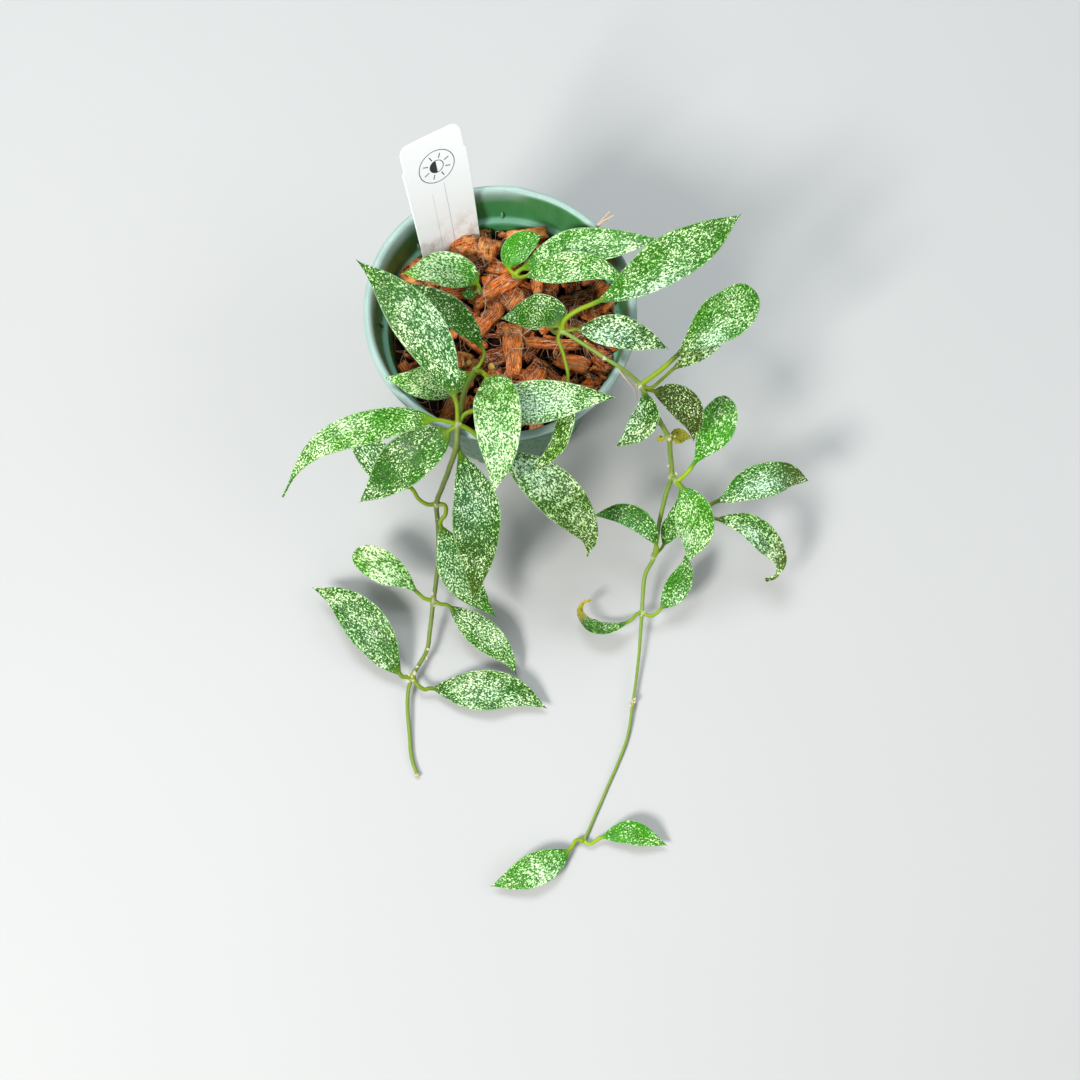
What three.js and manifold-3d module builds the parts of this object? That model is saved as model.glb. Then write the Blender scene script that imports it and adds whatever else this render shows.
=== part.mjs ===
// A young hoya in a round nursery pot, in millimetres, +Z up.
// The origin is the centre of the pot's flat underside, and the vines hang over the rim towards -Y.
import * as THREE from "three";
import { mergeVertices } from "three/addons/utils/BufferGeometryUtils.js";
import Module from "manifold-3d";

const wasm = await Module();
wasm.setup();

// Driving dimensions

// gap between pieces that touch
const GAP = 0.35;
const POT = {
  height: 82,
  rimRadius: 52.4,
  lipWidth: 3,
  lipHeight: 2.8,
  // the collar widens from the ledge to the lip
  collarFoot: 63,
  collarRadius: 48,
  collarTopRadius: 50,
  ledgeHeight: 64.4,
  ledgeRadius: 44.9,
  baseRadius: 37,
  wall: 1,
  floor: 1.8,
  rounding: 0.6,
  sides: 48,
};
const DRAIN = { count: 8, width: 7, height: 5, depth: 4 };
const LUG = { count: 8, width: 1.2, height: 5, proud: 1.1 };
const LABEL = {
  headWidth: 25.5,
  headLength: 12,
  shoulderWidth: 27.2,
  // across it where its sides turn in to the point
  lowWidth: 24.4,
  length: 108,
  thickness: 0.9,
  cornerRadius: 4,
  pointLength: 16,
  // the place where it leaves the bark, and how far it stands out above that
  foot: [-20, 33.4, 62],
  showing: 62.5,
  leanBack: 17.5,
  leanAside: -5.4,
  turn: 32,
};
// the swellings where leaves sit on a stem
const KNOB_RADIUS = 1.65;
const YOUNG_KNOB_RADIUS = 1.4;
const LEAF = {
  // half the blade's thickness at the midrib and at the margins
  ridge: 0.6,
  margin: 0.35,
  tipHalfWidth: 0.4,
  // shares of the blade's length at which it has a ring
  stations: [0, 0.06, 0.15, 0.27, 0.4, 0.53, 0.66, 0.79, 0.9, 1],
  // how far its stalk's round section runs on into the blade
  stalkEnds: 0.2,
  stalkStep: 4,
};
const BARK = {
  // the bed's height in the middle, its rise towards the back and its fall towards the wall
  top: 56,
  backRise: 4.5,
  edgeFall: 2.2,
  radius: 43.4,
  chips: 50,
  chipLength: [10, 19],
  chipWidth: [4, 8],
  chipThickness: [2.4, 4.4],
  mostTipped: 32,
  mostRaised: 2.5,
  holeRadius: 2,
};
const COLOUR = { pot: 0x2f7d4f, bark: 0xa4511f, label: 0xf3f5f2, leaf: 0x5f9440, youngLeaf: 0x6bb13c };

// Solids

// A repeatable random draw between 0 and 1.
function randomDraws(seed) {
  let state = seed;
  return () => {
    state = (state * 1103515245 + 12345) % 2147483648;
    return state / 2147483648;
  };
}

function solidOf(geometry) {
  const plain = geometry.clone();
  plain.deleteAttribute("normal");
  plain.deleteAttribute("uv");
  const merged = mergeVertices(plain, 1e-4);
  const vertProperties = new Float32Array(merged.getAttribute("position").array);
  const triVerts = new Uint32Array(merged.index.array);
  return new wasm.Manifold(new wasm.Mesh({ numProp: 3, vertProperties, triVerts }));
}

const fused = (solids) => solids.reduce((whole, next) => whole.add(next));

// Of a solid that a cut has left in bits, the largest bit.
function largest(solid) {
  return solid.decompose().reduce((best, bit) => (bit.volume() > best.volume() ? bit : best));
}

function meshOf(name, solid, color, roughness) {
  const { numProp, vertProperties, triVerts } = solid.getMesh();
  const positions = new Float32Array((vertProperties.length / numProp) * 3);
  for (let i = 0; i < positions.length / 3; i++) {
    positions.set(vertProperties.subarray(i * numProp, i * numProp + 3), i * 3);
  }
  const geometry = new THREE.BufferGeometry();
  geometry.setAttribute("position", new THREE.BufferAttribute(positions, 3));
  geometry.setIndex(new THREE.BufferAttribute(triVerts, 1));
  geometry.computeVertexNormals();
  const material = new THREE.MeshStandardMaterial({ color, roughness, metalness: 0, flatShading: true });
  const mesh = new THREE.Mesh(geometry, material);
  mesh.name = name;
  return mesh;
}

// A closed body through rings of six points, in the order that `ring` gives them.
// The diagonals below mirror those above, so the two faces of a blade run parallel.
function loft(rings) {
  const count = rings[0].length;
  const faces = [];
  for (let k = 0; k + 1 < rings.length; k++) {
    for (let i = 0; i < count; i++) {
      const j = (i + 1) % count;
      const [a, b, c, d] = [i, j, j + count, i + count].map((n) => n + k * count);
      if (i < count / 2) faces.push(a, b, c, a, c, d);
      else faces.push(a, b, d, b, c, d);
    }
  }
  const last = (rings.length - 1) * count;
  for (let i = 1; i + 1 < count; i++) {
    faces.push(0, i + 1, i);
    faces.push(last, last + i, last + i + 1);
  }
  const geometry = new THREE.BufferGeometry().setFromPoints(rings.flat());
  geometry.setIndex(faces);
  return solidOf(geometry);
}

// The ring at a point, its upper three points from left to right and then the lower three back.
// It is given by half its width, half its thickness in the middle and at the margins, and the margins' lift.
function ring(centre, side, normal, { half, ridge, margin, lift = 0 }) {
  const at = (across, up) => centre.clone().addScaledVector(side, across).addScaledVector(normal, up);
  return [
    at(-half, lift + margin),
    at(0, ridge),
    at(half, lift + margin),
    at(half, lift - margin),
    at(0, -ridge),
    at(-half, lift - margin),
  ];
}

// a broader leaf has a stouter stalk
const stalkRadius = (leafWidth) => 0.5 + 0.025 * leafWidth;

// a regular hexagon's half width and the half height of its upright sides, as shares of its radius
const ROUND = { half: Math.sqrt(0.75), margin: 0.5 };

const roundRing = (centre, side, normal, radius) =>
  ring(centre, side, normal, { half: radius * ROUND.half, ridge: radius, margin: radius * ROUND.margin });

const curveThrough = (points) =>
  new THREE.CatmullRomCurve3(points.map((p) => new THREE.Vector3(...p)), false, "catmullrom", 0.5);

// A stem through chosen points, its radius shrinking evenly from its start to its end.
function stem(points, { from, to, step = 5 }) {
  const curve = curveThrough(points);
  const count = Math.max(2, Math.round(curve.getLength() / step));
  const frames = curve.computeFrenetFrames(count);
  const rings = [];
  for (let k = 0; k <= count; k++) {
    const radius = THREE.MathUtils.lerp(from, to, k / count);
    const up = frames.binormals[k].negate();
    rings.push(roundRing(curve.getPointAt(k / count), frames.normals[k], up, radius));
  }
  return loft(rings);
}

// Blades turn their faces up and a little towards -Y.
const FACING = new THREE.Vector3(0, -0.25, 0.97).normalize();

function acrossAndUp(tangent, roll) {
  const normal = FACING.clone().addScaledVector(tangent, -FACING.dot(tangent)).normalize();
  normal.applyAxisAngle(tangent, -THREE.MathUtils.degToRad(roll));
  return [new THREE.Vector3().crossVectors(tangent, normal), normal];
}

// How much of its full width a blade has at a share s of its length. It is all there at the widest place,
// and thins towards the base and the tip, each by its own power: 0.5 rounds that end, over 1 draws it out.
function fullness(s, { widest, base, tip }) {
  const u = s ** (Math.log(0.5) / Math.log(widest));
  return (4 * u * (1 - u)) ** (s < widest ? base : tip);
}

// A leaf along its midrib's points. Its blade begins at point number `stalk`, after its stalk.
function leaf(points, shape) {
  const form = { roll: 0, cup: 0.12, widest: 0.45, base: 1.3, tip: 1.3, ...shape };
  const curve = curveThrough(points);
  const radius = stalkRadius(form.width);
  const lengths = curve.getLengths(60 * (points.length - 1));
  const whole = lengths.at(-1);
  const stalkShare = lengths[60 * form.stalk] / whole;
  const [, bladeNormal] = acrossAndUp(curve.getTangentAt(stalkShare), form.roll);
  const rings = [];
  const steps = Math.max(1, Math.round((stalkShare * whole) / LEAF.stalkStep));
  for (let k = 0; k < steps; k++) {
    const u = (stalkShare * k) / steps;
    const tangent = curve.getTangentAt(u);
    const normal = bladeNormal.clone().addScaledVector(tangent, -bladeNormal.dot(tangent)).normalize();
    const side = new THREE.Vector3().crossVectors(tangent, normal);
    rings.push(roundRing(curve.getPointAt(u), side, normal, radius));
  }
  for (const s of LEAF.stations) {
    const u = Math.min(1, stalkShare + s * (1 - stalkShare));
    const [side, normal] = acrossAndUp(curve.getTangentAt(u), form.roll);
    const narrowest = s < form.widest ? radius * ROUND.half : LEAF.tipHalfWidth;
    const half = Math.max((form.width / 2) * fullness(s, form), narrowest);
    const flat = THREE.MathUtils.smoothstep(s, 0, LEAF.stalkEnds);
    const ridge = THREE.MathUtils.lerp(radius, LEAF.ridge, flat);
    const margin = THREE.MathUtils.lerp(radius * ROUND.margin, LEAF.margin, flat);
    const lift = form.cup * half * flat;
    rings.push(ring(curve.getPointAt(u), side, normal, { half, ridge, margin, lift }));
  }
  return loft(rings);
}

const knob = (place, radius = KNOB_RADIUS) =>
  solidOf(new THREE.IcosahedronGeometry(radius, 0).translate(...place));

// Pot

function profileAround(points, sides) {
  const geometry = new THREE.LatheGeometry(points.map(([r, z]) => new THREE.Vector2(r, z)), sides);
  return solidOf(geometry.rotateX(Math.PI / 2));
}

function block(width, depth, height) {
  return solidOf(new THREE.BoxGeometry(width, depth, height));
}

const turned = (solid, radius, height, degrees) =>
  solid.translate([radius, 0, height]).rotate([0, 0, degrees]);

function makePot() {
  const { height, rimRadius, lipHeight, rounding, collarFoot, collarRadius, ledgeHeight, ledgeRadius } = POT;
  const { baseRadius, wall, floor } = POT;
  const mouth = rimRadius - POT.lipWidth;
  const body = profileAround(
    [
      [0, 0],
      [baseRadius - rounding, 0],
      [baseRadius, rounding],
      [ledgeRadius + wall, collarFoot - wall],
      [collarRadius, collarFoot],
      [POT.collarTopRadius, height - lipHeight],
      [rimRadius - rounding, height - lipHeight],
      [rimRadius, height - lipHeight + rounding],
      [rimRadius, height - rounding],
      [rimRadius - rounding, height],
      [mouth, height],
      [mouth - rounding, height - rounding],
      [collarRadius - wall, ledgeHeight],
      [ledgeRadius, ledgeHeight],
      [ledgeRadius - rounding / 2, ledgeHeight - rounding],
      [baseRadius - wall, floor],
      [0, floor],
    ],
    POT.sides,
  );
  const notches = [];
  const notch = block(DRAIN.depth, DRAIN.width, DRAIN.height * 2);
  for (let i = 0; i < DRAIN.count; i++) {
    notches.push(turned(notch, baseRadius, 0, (360 / DRAIN.count) * (i + 0.5)));
  }
  // upright ribs inside the collar, on which a stacked pot rests
  const lugs = [];
  const lug = block(LUG.proud * 2, LUG.width, LUG.height);
  const lugMiddle = ledgeHeight + LUG.height / 2 - wall / 3;
  for (let i = 0; i < LUG.count; i++) {
    lugs.push(turned(lug, collarRadius - wall, lugMiddle, (360 / LUG.count) * i));
  }
  return fused([body, ...lugs]).subtract(fused(notches));
}

// Left vine: it leaves the bark at its crown, crosses the rim at its first joint and hangs to the ground.

const LEFT = {
  crown: [-10, -19, 66],
  first: [-15.5, -48, 87],
  second: [-25.5, -67.5, 48],
  third: [-28.5, -98.5, 12.5],
  fourth: [-37, -128.5, 5],
};
const LEFT_ROUTE = [
  [-9.5, -8, 48],
  LEFT.crown,
  [-13, -28.5, 75],
  [-14.5, -39.5, 83],
  LEFT.first,
  [-16, -55, 84],
  [-19, -60, 73],
  [-22.5, -64, 60],
  LEFT.second,
  [-25.5, -74.5, 35],
  [-26, -84.5, 24],
  [-27.5, -93, 16],
  LEFT.third,
  [-30, -110, 8],
  [-31.5, -118.5, 6],
  LEFT.fourth,
  [-39, -138, 3.5],
  [-38, -152, 1.7],
  [-37, -161, 1.2],
  [-34.5, -168.5, 1.1],
];
const LEFT_STEM = { from: 1.2, to: 0.78 };

const LEFT_LEAVES = {
  crownTop: leaf(
    [
      LEFT.crown, [-7.5, -22.5, 75], [-5, -28, 84], [-1.5, -37.5, 94], [-0.5, -47, 98], [0, -55.5, 98],
      [0, -64, 94], [-2, -74, 85],
    ],
    { stalk: 2, width: 17.5, base: 0.9, tip: 1.2 },
  ),
  crownDark: leaf(
    [
      LEFT.crown, [-8, -16.5, 68], [-6.5, -14, 70], [-7, -12, 71], [-10.5, -7, 74], [-16, -1.5, 76],
      [-21.5, 3.5, 77], [-28.5, 8.5, 77], [-36.5, 14.5, 75],
    ],
    { stalk: 3, width: 10.5 },
  ),
  crownLeft: leaf(
    [
      LEFT.crown, [-12, -21, 68], [-18.5, -25, 73], [-25.5, -28, 78], [-33, -29.5, 82],
      [-38.5, -29.5, 85], [-43.5, -29, 86],
    ],
    { stalk: 1, width: 14, base: 1 },
  ),
  longBackLeft: leaf(
    [
      LEFT.first, [-15.5, -44, 89], [-16, -40.5, 91], [-19.5, -31, 93], [-25.5, -19, 95], [-34, -7, 96],
      [-44, 5.5, 95], [-55, 16.5, 92],
    ],
    { stalk: 2, width: 18, tip: 1.5 },
  ),
  archedLeft: leaf(
    [
      LEFT.first, [-19, -47.5, 89], [-23.5, -47.5, 91], [-34.5, -48.5, 94], [-47, -51.5, 95],
      [-58.5, -54, 92], [-68, -57, 86], [-76, -62, 77], [-83, -70, 66],
    ],
    { stalk: 2, width: 12.2, widest: 0.36, base: 1.2, tip: 1.9 },
  ),
  broadLeft: leaf(
    [
      LEFT.first, [-18.5, -50, 86], [-25, -54, 84], [-33, -58.5, 81], [-40.5, -63, 75],
      [-47, -67.5, 69], [-54.5, -71, 62],
    ],
    { stalk: 1, width: 18.5, widest: 0.4, base: 1 },
  ),
  longFront: leaf(
    [
      LEFT.first, [-16, -51.5, 84], [-15.5, -55, 81], [-12.5, -62.5, 74], [-9.5, -71.5, 64],
      [-9.5, -80.5, 53], [-9.5, -89.5, 42], [-11.5, -103, 32],
    ],
    { stalk: 2, width: 19, base: 1.5, tip: 1.2 },
  ),
  overBark: leaf(
    [
      LEFT.first, [-13, -44, 87], [-9.5, -42.5, 87], [-7.5, -42, 87.5], [2, -41, 88.5],
      [11.5, -40.5, 90], [22, -40, 92], [33, -39.5, 93], [43.5, -39, 92],
    ],
    { stalk: 3, width: 16.4, widest: 0.4 },
  ),
  overRim: leaf(
    [
      LEFT.first, [-11.5, -49.5, 86], [-6, -53.5, 84], [-3.5, -55, 83], [4, -59, 79], [13, -63.5, 73],
      [21, -68, 65], [29, -73.5, 54], [34.5, -79.5, 42], [34, -85, 33],
    ],
    { stalk: 3, width: 18, base: 1.5, tip: 1.15 },
  ),
  secondLeft: leaf(
    [
      LEFT.second, [-29, -68, 49], [-32.5, -66, 50], [-35, -62.5, 52], [-41.5, -58, 56],
      [-48, -52.5, 59], [-54.5, -47, 60], [-60, -40.5, 59],
    ],
    { stalk: 3, width: 14, base: 1.1 },
  ),
  secondRight: leaf(
    [
      LEFT.second, [-22, -68.5, 49], [-22, -72, 48], [-24, -75, 46], [-21, -82, 40], [-18.5, -89, 34],
      [-14.5, -95, 27], [-9, -100.5, 21], [-2.5, -106.5, 17],
    ],
    { stalk: 3, width: 15 },
  ),
  thirdSpoon: leaf(
    [
      LEFT.third, [-32, -98, 14], [-34, -96.5, 15], [-40.5, -91, 18], [-47.5, -87, 20],
      [-54, -83.5, 21], [-61, -80.5, 20],
    ],
    { stalk: 2, width: 13.5, widest: 0.6, base: 1.1, tip: 0.48 },
  ),
  thirdRight: leaf(
    [
      LEFT.third, [-25.5, -100, 12.5], [-22.5, -100.5, 12], [-15.5, -106, 11], [-9, -111, 9.5],
      [-3, -116, 8], [2, -121.5, 7], [5.5, -128, 5.5],
    ],
    { stalk: 2, width: 12.8 },
  ),
  fourthLeft: leaf(
    [
      LEFT.fourth, [-40, -129, 6], [-41.5, -128.5, 6.5], [-47, -121.5, 9], [-52, -113.5, 11],
      [-59, -105, 12], [-67.5, -97.5, 11], [-79, -92, 8],
    ],
    { stalk: 2, width: 17.5, base: 1.2, tip: 1.35 },
  ),
  fourthRight: leaf(
    [
      LEFT.fourth, [-35, -132, 5.5], [-32, -134, 5], [-30, -133.5, 5], [-21, -134, 5.5],
      [-10.5, -134.5, 6.5], [-1, -134.5, 6.5], [8, -136.5, 5.5], [18, -141.5, 3.5],
    ],
    { stalk: 3, width: 16.6, base: 1.5 },
  ),
};

function makeLeftVine() {
  const knobs = Object.values(LEFT).map((place) => knob(place));
  return fused([stem(LEFT_ROUTE, LEFT_STEM), ...knobs, ...Object.values(LEFT_LEAVES)]);
}

// Right vine: it crosses the rim beyond its first joint and trails far to the front, with one side shoot.

const RIGHT = {
  first: [23.5, -10.5, 86],
  second: [53, -30.5, 82],
  bare: [65, -43.5, 59],
  third: [67.5, -54, 42],
  fourth: [61.5, -81.5, 19],
  fifth: [57, -102.5, 7.5],
  sixth: [53, -139, 2.5],
  last: [32.5, -194.5, 1.8],
};
const RIGHT_ROUTE = [
  [16.5, 14, 46],
  [18.5, 3, 62],
  [21, -7.5, 78],
  RIGHT.first,
  [30, -15, 87],
  [39.5, -22, 88],
  [46, -26, 87],
  RIGHT.second,
  [58.5, -37, 72],
  RIGHT.bare,
  [66.5, -48, 50],
  RIGHT.third,
  [65.5, -60.5, 34],
  [63.5, -69, 27],
  RIGHT.fourth,
  [58, -89, 13],
  RIGHT.fifth,
  [55.5, -121.5, 4],
  RIGHT.sixth,
  [50, -155, 1.4],
  [41.5, -175, 1],
  [34.5, -190.5, 1.4],
  RIGHT.last,
];
const RIGHT_STEM = { from: 1.25, to: 0.55 };
const SIDE = { fork: [69.5, -57, 43], end: [81, -67, 37] };
const SIDE_ROUTE = [RIGHT.third, SIDE.fork, [75, -61.5, 40], SIDE.end];
const SIDE_STEM = { from: 0.9, to: 0.8, step: 4 };

const RIGHT_LEAVES = {
  longest: leaf(
    [
      RIGHT.first, [24.5, -7.5, 90], [29, -5, 93], [35, -3, 95], [44.5, 1, 97], [54.5, 7, 99],
      [64.5, 13.5, 100], [75, 19.5, 100], [83.5, 26.5, 98], [91.5, 33.5, 95],
    ],
    { stalk: 3, width: 18, widest: 0.5, base: 1.8 },
  ),
  firstLeft: leaf(
    [RIGHT.first, [22.5, -9, 87], [19.5, -4.5, 87], [14, -1.5, 83], [7.5, 0.5, 76], [-0.5, 2, 68]],
    { stalk: 1, width: 14, widest: 0.33, base: 0.9 },
  ),
  firstRight: leaf(
    [
      RIGHT.first, [26.5, -10.5, 87], [29, -10.5, 88], [36.5, -12, 91], [44.5, -13, 92], [52, -15, 91],
      [58.5, -16.5, 89], [63.5, -18, 87],
    ],
    { stalk: 2, width: 12.5, base: 1.2 },
  ),
  firstFront: leaf(
    [
      RIGHT.first, [22, -13, 86], [24, -20, 86], [25.5, -27, 86], [25.5, -31.5, 86], [26, -39, 86.5],
      [25, -46, 87], [23, -53, 86], [19.5, -58, 83], [11, -65.5, 77],
    ],
    { stalk: 4, width: 8.5, roll: 35 },
  ),
  secondSpoon: leaf(
    [
      RIGHT.second, [57.5, -27.5, 83], [61, -25, 84], [63.5, -23, 85], [71.5, -16, 87],
      [80.5, -8.5, 88], [89, -2, 88], [95.5, 7, 87],
    ],
    { stalk: 3, width: 18.4, widest: 0.62, base: 1.4, tip: 0.45 },
  ),
  secondUnder: leaf(
    [
      RIGHT.second, [57, -31, 80], [60.5, -28, 79], [65.5, -23, 78], [72, -18, 78], [79, -13, 78],
      [85.5, -8, 78], [92, -3, 77],
    ],
    { stalk: 3, width: 8 },
  ),
  secondDark: leaf(
    [
      RIGHT.second, [55.5, -31, 79], [58, -31, 77], [65.5, -32, 73], [71.5, -35, 69], [74.5, -39.5, 64],
      [75, -45, 58],
    ],
    { stalk: 2, width: 12.5, base: 1.1 },
  ),
  secondFront: leaf(
    [RIGHT.second, [54, -32, 80], [55.5, -37, 77], [55, -41, 72], [51, -45, 67], [44.5, -48.5, 62]],
    { stalk: 1, width: 11 },
  ),
  bractRight: leaf(
    [RIGHT.bare, [66.5, -43, 57], [71, -41.5, 54], [75.5, -41.5, 51]],
    { stalk: 1, width: 4.5 },
  ),
  bractLeft: leaf(
    [RIGHT.bare, [63, -43.5, 57], [60.5, -43.5, 55]],
    { stalk: 1, width: 3.5 },
  ),
  forkSpoon: leaf(
    [
      SIDE.fork, [72.5, -55, 46], [74.5, -53, 48], [79.5, -46, 51], [84, -38.5, 53], [87, -31, 53],
      [88.5, -24, 52],
    ],
    { stalk: 2, width: 15, widest: 0.58, base: 1.4, tip: 0.6 },
  ),
  forkFront: leaf(
    [SIDE.fork, [70.5, -59.5, 45], [74, -66, 46], [76, -73, 44], [76.5, -79.5, 38], [74.5, -86.5, 30]],
    { stalk: 1, width: 15.5, base: 1.2 },
  ),
  sideUpper: leaf(
    [
      SIDE.end, [84, -64.5, 38], [90, -62.5, 41], [97.5, -58.5, 43], [105.5, -56, 43], [114, -53.5, 40],
      [123, -54, 35],
    ],
    { stalk: 1, width: 14, widest: 0.5, base: 1.5, tip: 1 },
  ),
  sideHooked: leaf(
    [
      SIDE.end, [84.5, -70, 36], [91.5, -71, 36], [98.5, -72.5, 34], [104.5, -76, 30], [109.5, -80, 25],
      [113, -84, 20], [111.5, -89, 17], [107, -91, 17],
    ],
    { stalk: 1, width: 11, tip: 1.8 },
  ),
  fourthLeft: leaf(
    [
      RIGHT.fourth, [62.5, -81, 24], [62, -79, 28], [59, -74.5, 32], [54.5, -70, 33], [48, -67, 32],
      [42.5, -66.5, 30], [36.5, -66.5, 27],
    ],
    { stalk: 2, width: 9.5, base: 1.1 },
  ),
  fourthRight: leaf(
    [RIGHT.fourth, [63.5, -79.5, 20], [65, -78, 22], [67.5, -73, 26], [69.5, -68, 30], [70.5, -61, 33]],
    { stalk: 2, width: 8 },
  ),
  fifthCurled: leaf(
    [
      RIGHT.fifth, [54.5, -103.5, 8.5], [51.5, -106.5, 9], [43, -109.5, 8.5], [35.5, -108, 8],
      [31.5, -103, 8], [32.5, -99, 9], [36, -97.5, 10],
    ],
    { stalk: 2, width: 10, roll: 60 },
  ),
  fifthRight: leaf(
    [
      RIGHT.fifth, [60.5, -104, 8], [63, -103, 9], [64.5, -101.5, 10], [69, -96.5, 13], [72.5, -91, 15],
      [74.5, -85.5, 17], [74.5, -80, 19],
    ],
    { stalk: 3, width: 10.5, base: 1.2 },
  ),
  lastLeft: leaf(
    [
      RIGHT.last, [29.5, -194.5, 3], [27, -198, 3.5], [20.5, -202.5, 5], [13, -206, 6], [5, -209.5, 6],
      [-4.5, -212.5, 4],
    ],
    { stalk: 2, width: 13.5, base: 1.2 },
  ),
  lastRight: leaf(
    [
      RIGHT.last, [35, -196, 2.5], [37.5, -194.5, 3], [39.5, -193.5, 3.5], [45.5, -192, 5],
      [51.5, -191.5, 6], [59, -194, 5], [66, -196.5, 3],
    ],
    { stalk: 3, width: 9.6 },
  ),
};

function makeRightVine() {
  const { last, ...joints } = RIGHT;
  return fused([
    stem(RIGHT_ROUTE, RIGHT_STEM),
    stem(SIDE_ROUTE, SIDE_STEM),
    ...Object.values(joints).map((place) => knob(place)),
    ...[last, SIDE.fork, SIDE.end].map((place) => knob(place, YOUNG_KNOB_RADIUS)),
    ...Object.values(RIGHT_LEAVES),
  ]);
}

// Two short shoots at the back of the bark

const BACK_ROUTE = [
  [5.5, 28, 46],
  [6, 23.5, 59],
  [5.5, 20.5, 68],
];
const BACK_TOP = BACK_ROUTE[2];
const SMALL_ROUTE = [
  [-9.5, 22, 46],
  [-9, 14.5, 66],
];
const SMALL_TOP = SMALL_ROUTE[1];
const SHOOT_STEM = { from: 1.2, to: 1.1 };

const BACK_LEAVES = {
  smallUpright: leaf(
    [BACK_TOP, [3, 22.5, 70], [4, 26, 73], [7, 29.5, 75], [11.5, 32, 76], [15.5, 34, 75]],
    { stalk: 1, width: 11, base: 0.9, tip: 0.9 },
  ),
  longBack: leaf(
    [
      BACK_TOP, [7.5, 22, 70], [17.5, 24, 77], [28.5, 24.5, 84], [40, 23.5, 89], [51, 23.5, 92],
      [62, 24.5, 92],
    ],
    { stalk: 1, width: 16.5, roll: -20, base: 1.1 },
  ),
  longFront: leaf(
    [
      BACK_TOP, [7, 19, 69.5], [9, 18, 72.5], [18, 17, 80], [27, 16, 86], [36, 14, 89], [42.5, 11, 90],
      [49.5, 7.5, 88],
    ],
    { stalk: 2, width: 12 },
  ),
};
const SMALL_LEAVES = {
  broad: leaf(
    [
      SMALL_TOP, [-9.5, 16.5, 68], [-14, 19.5, 70], [-20.5, 21, 72], [-27, 21, 73], [-33, 19.5, 73],
      [-39, 19.5, 72],
    ],
    { stalk: 1, width: 14, widest: 0.42, base: 0.9 },
  ),
  bract: leaf(
    [SMALL_TOP, [-10.5, 13.5, 67], [-13.5, 12.5, 68], [-16, 13, 68]],
    { stalk: 1, width: 5 },
  ),
};

const makeShoot = (route, leaves) =>
  fused([stem(route, SHOOT_STEM), knob(route.at(-1)), ...Object.values(leaves)]);

// Plant label: a flat plastic plate with a slightly narrower head and a pointed end in the bark

function labelOutline(grow) {
  const { headWidth, headLength, shoulderWidth, lowWidth, length, pointLength, cornerRadius } = LABEL;
  const half = shoulderWidth / 2 + grow;
  const lowHalf = lowWidth / 2 + grow;
  const headHalf = headWidth / 2 + grow;
  const top = grow;
  const shoulder = -headLength;
  const point = -length - grow;
  const bevel = -length + pointLength;
  const outline = new THREE.Shape();
  outline.moveTo(-2 - grow, point);
  outline.lineTo(2 + grow, point);
  outline.lineTo(lowHalf, bevel);
  outline.lineTo(half, shoulder);
  outline.lineTo(headHalf, shoulder + 0.8);
  outline.absarc(headHalf - cornerRadius, top - cornerRadius, cornerRadius, 0, Math.PI / 2);
  outline.absarc(-headHalf + cornerRadius, top - cornerRadius, cornerRadius, Math.PI / 2, Math.PI);
  outline.lineTo(-headHalf, shoulder + 0.8);
  outline.lineTo(-half, shoulder);
  outline.lineTo(-lowHalf, bevel);
  outline.closePath();
  return outline;
}

// The plate's outline stands in X and Y with its top edge at 0, then it is leant and set in its place.
function makeLabel(grow = 0) {
  const depth = LABEL.thickness + 2 * grow;
  const extrusion = { depth, bevelEnabled: false, curveSegments: 5 };
  const plate = new THREE.ExtrudeGeometry(labelOutline(grow), extrusion);
  plate.translate(0, 0, -depth / 2);
  const back = THREE.MathUtils.degToRad(LABEL.leanBack);
  const aside = THREE.MathUtils.degToRad(LABEL.leanAside);
  const turn = THREE.MathUtils.degToRad(LABEL.turn);
  const up = new THREE.Vector3(0, Math.sin(back), Math.cos(back)).multiplyScalar(Math.cos(aside));
  up.x = Math.sin(aside);
  const across = new THREE.Vector3(Math.cos(turn), Math.sin(turn), 0);
  across.addScaledVector(up, -across.dot(up)).normalize();
  const out = new THREE.Vector3().crossVectors(across, up);
  const top = new THREE.Vector3(...LABEL.foot).addScaledVector(up, LABEL.showing);
  plate.applyMatrix4(new THREE.Matrix4().makeBasis(across, up, out).setPosition(top));
  return solidOf(plate);
}

// Bark mix: a mounded bed with chips of bark sunk into its top

function barkTop(x, y) {
  const rise = BARK.backRise * THREE.MathUtils.smoothstep(y, -20, 35);
  return BARK.top + rise - BARK.edgeFall * (Math.hypot(x, y) / BARK.radius) ** 2;
}

function barkBed() {
  const foot = [POT.baseRadius - POT.wall - GAP, POT.floor + GAP];
  const brim = [BARK.radius, BARK.top - BARK.edgeFall - 1];
  const aloft = POT.height;
  const rings = [1, 0.8, 0.55, 0.28].map((share) => [BARK.radius * share, aloft]);
  const geometry = new THREE.LatheGeometry(
    [[0, foot[1]], foot, brim, ...rings, [0, aloft]].map(([r, z]) => new THREE.Vector2(r, z)),
    32,
  );
  geometry.rotateX(Math.PI / 2);
  const places = geometry.getAttribute("position");
  for (let i = 0; i < places.count; i++) {
    if (places.getZ(i) > aloft - 1) places.setZ(i, barkTop(places.getX(i), places.getY(i)));
  }
  return solidOf(geometry);
}

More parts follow.
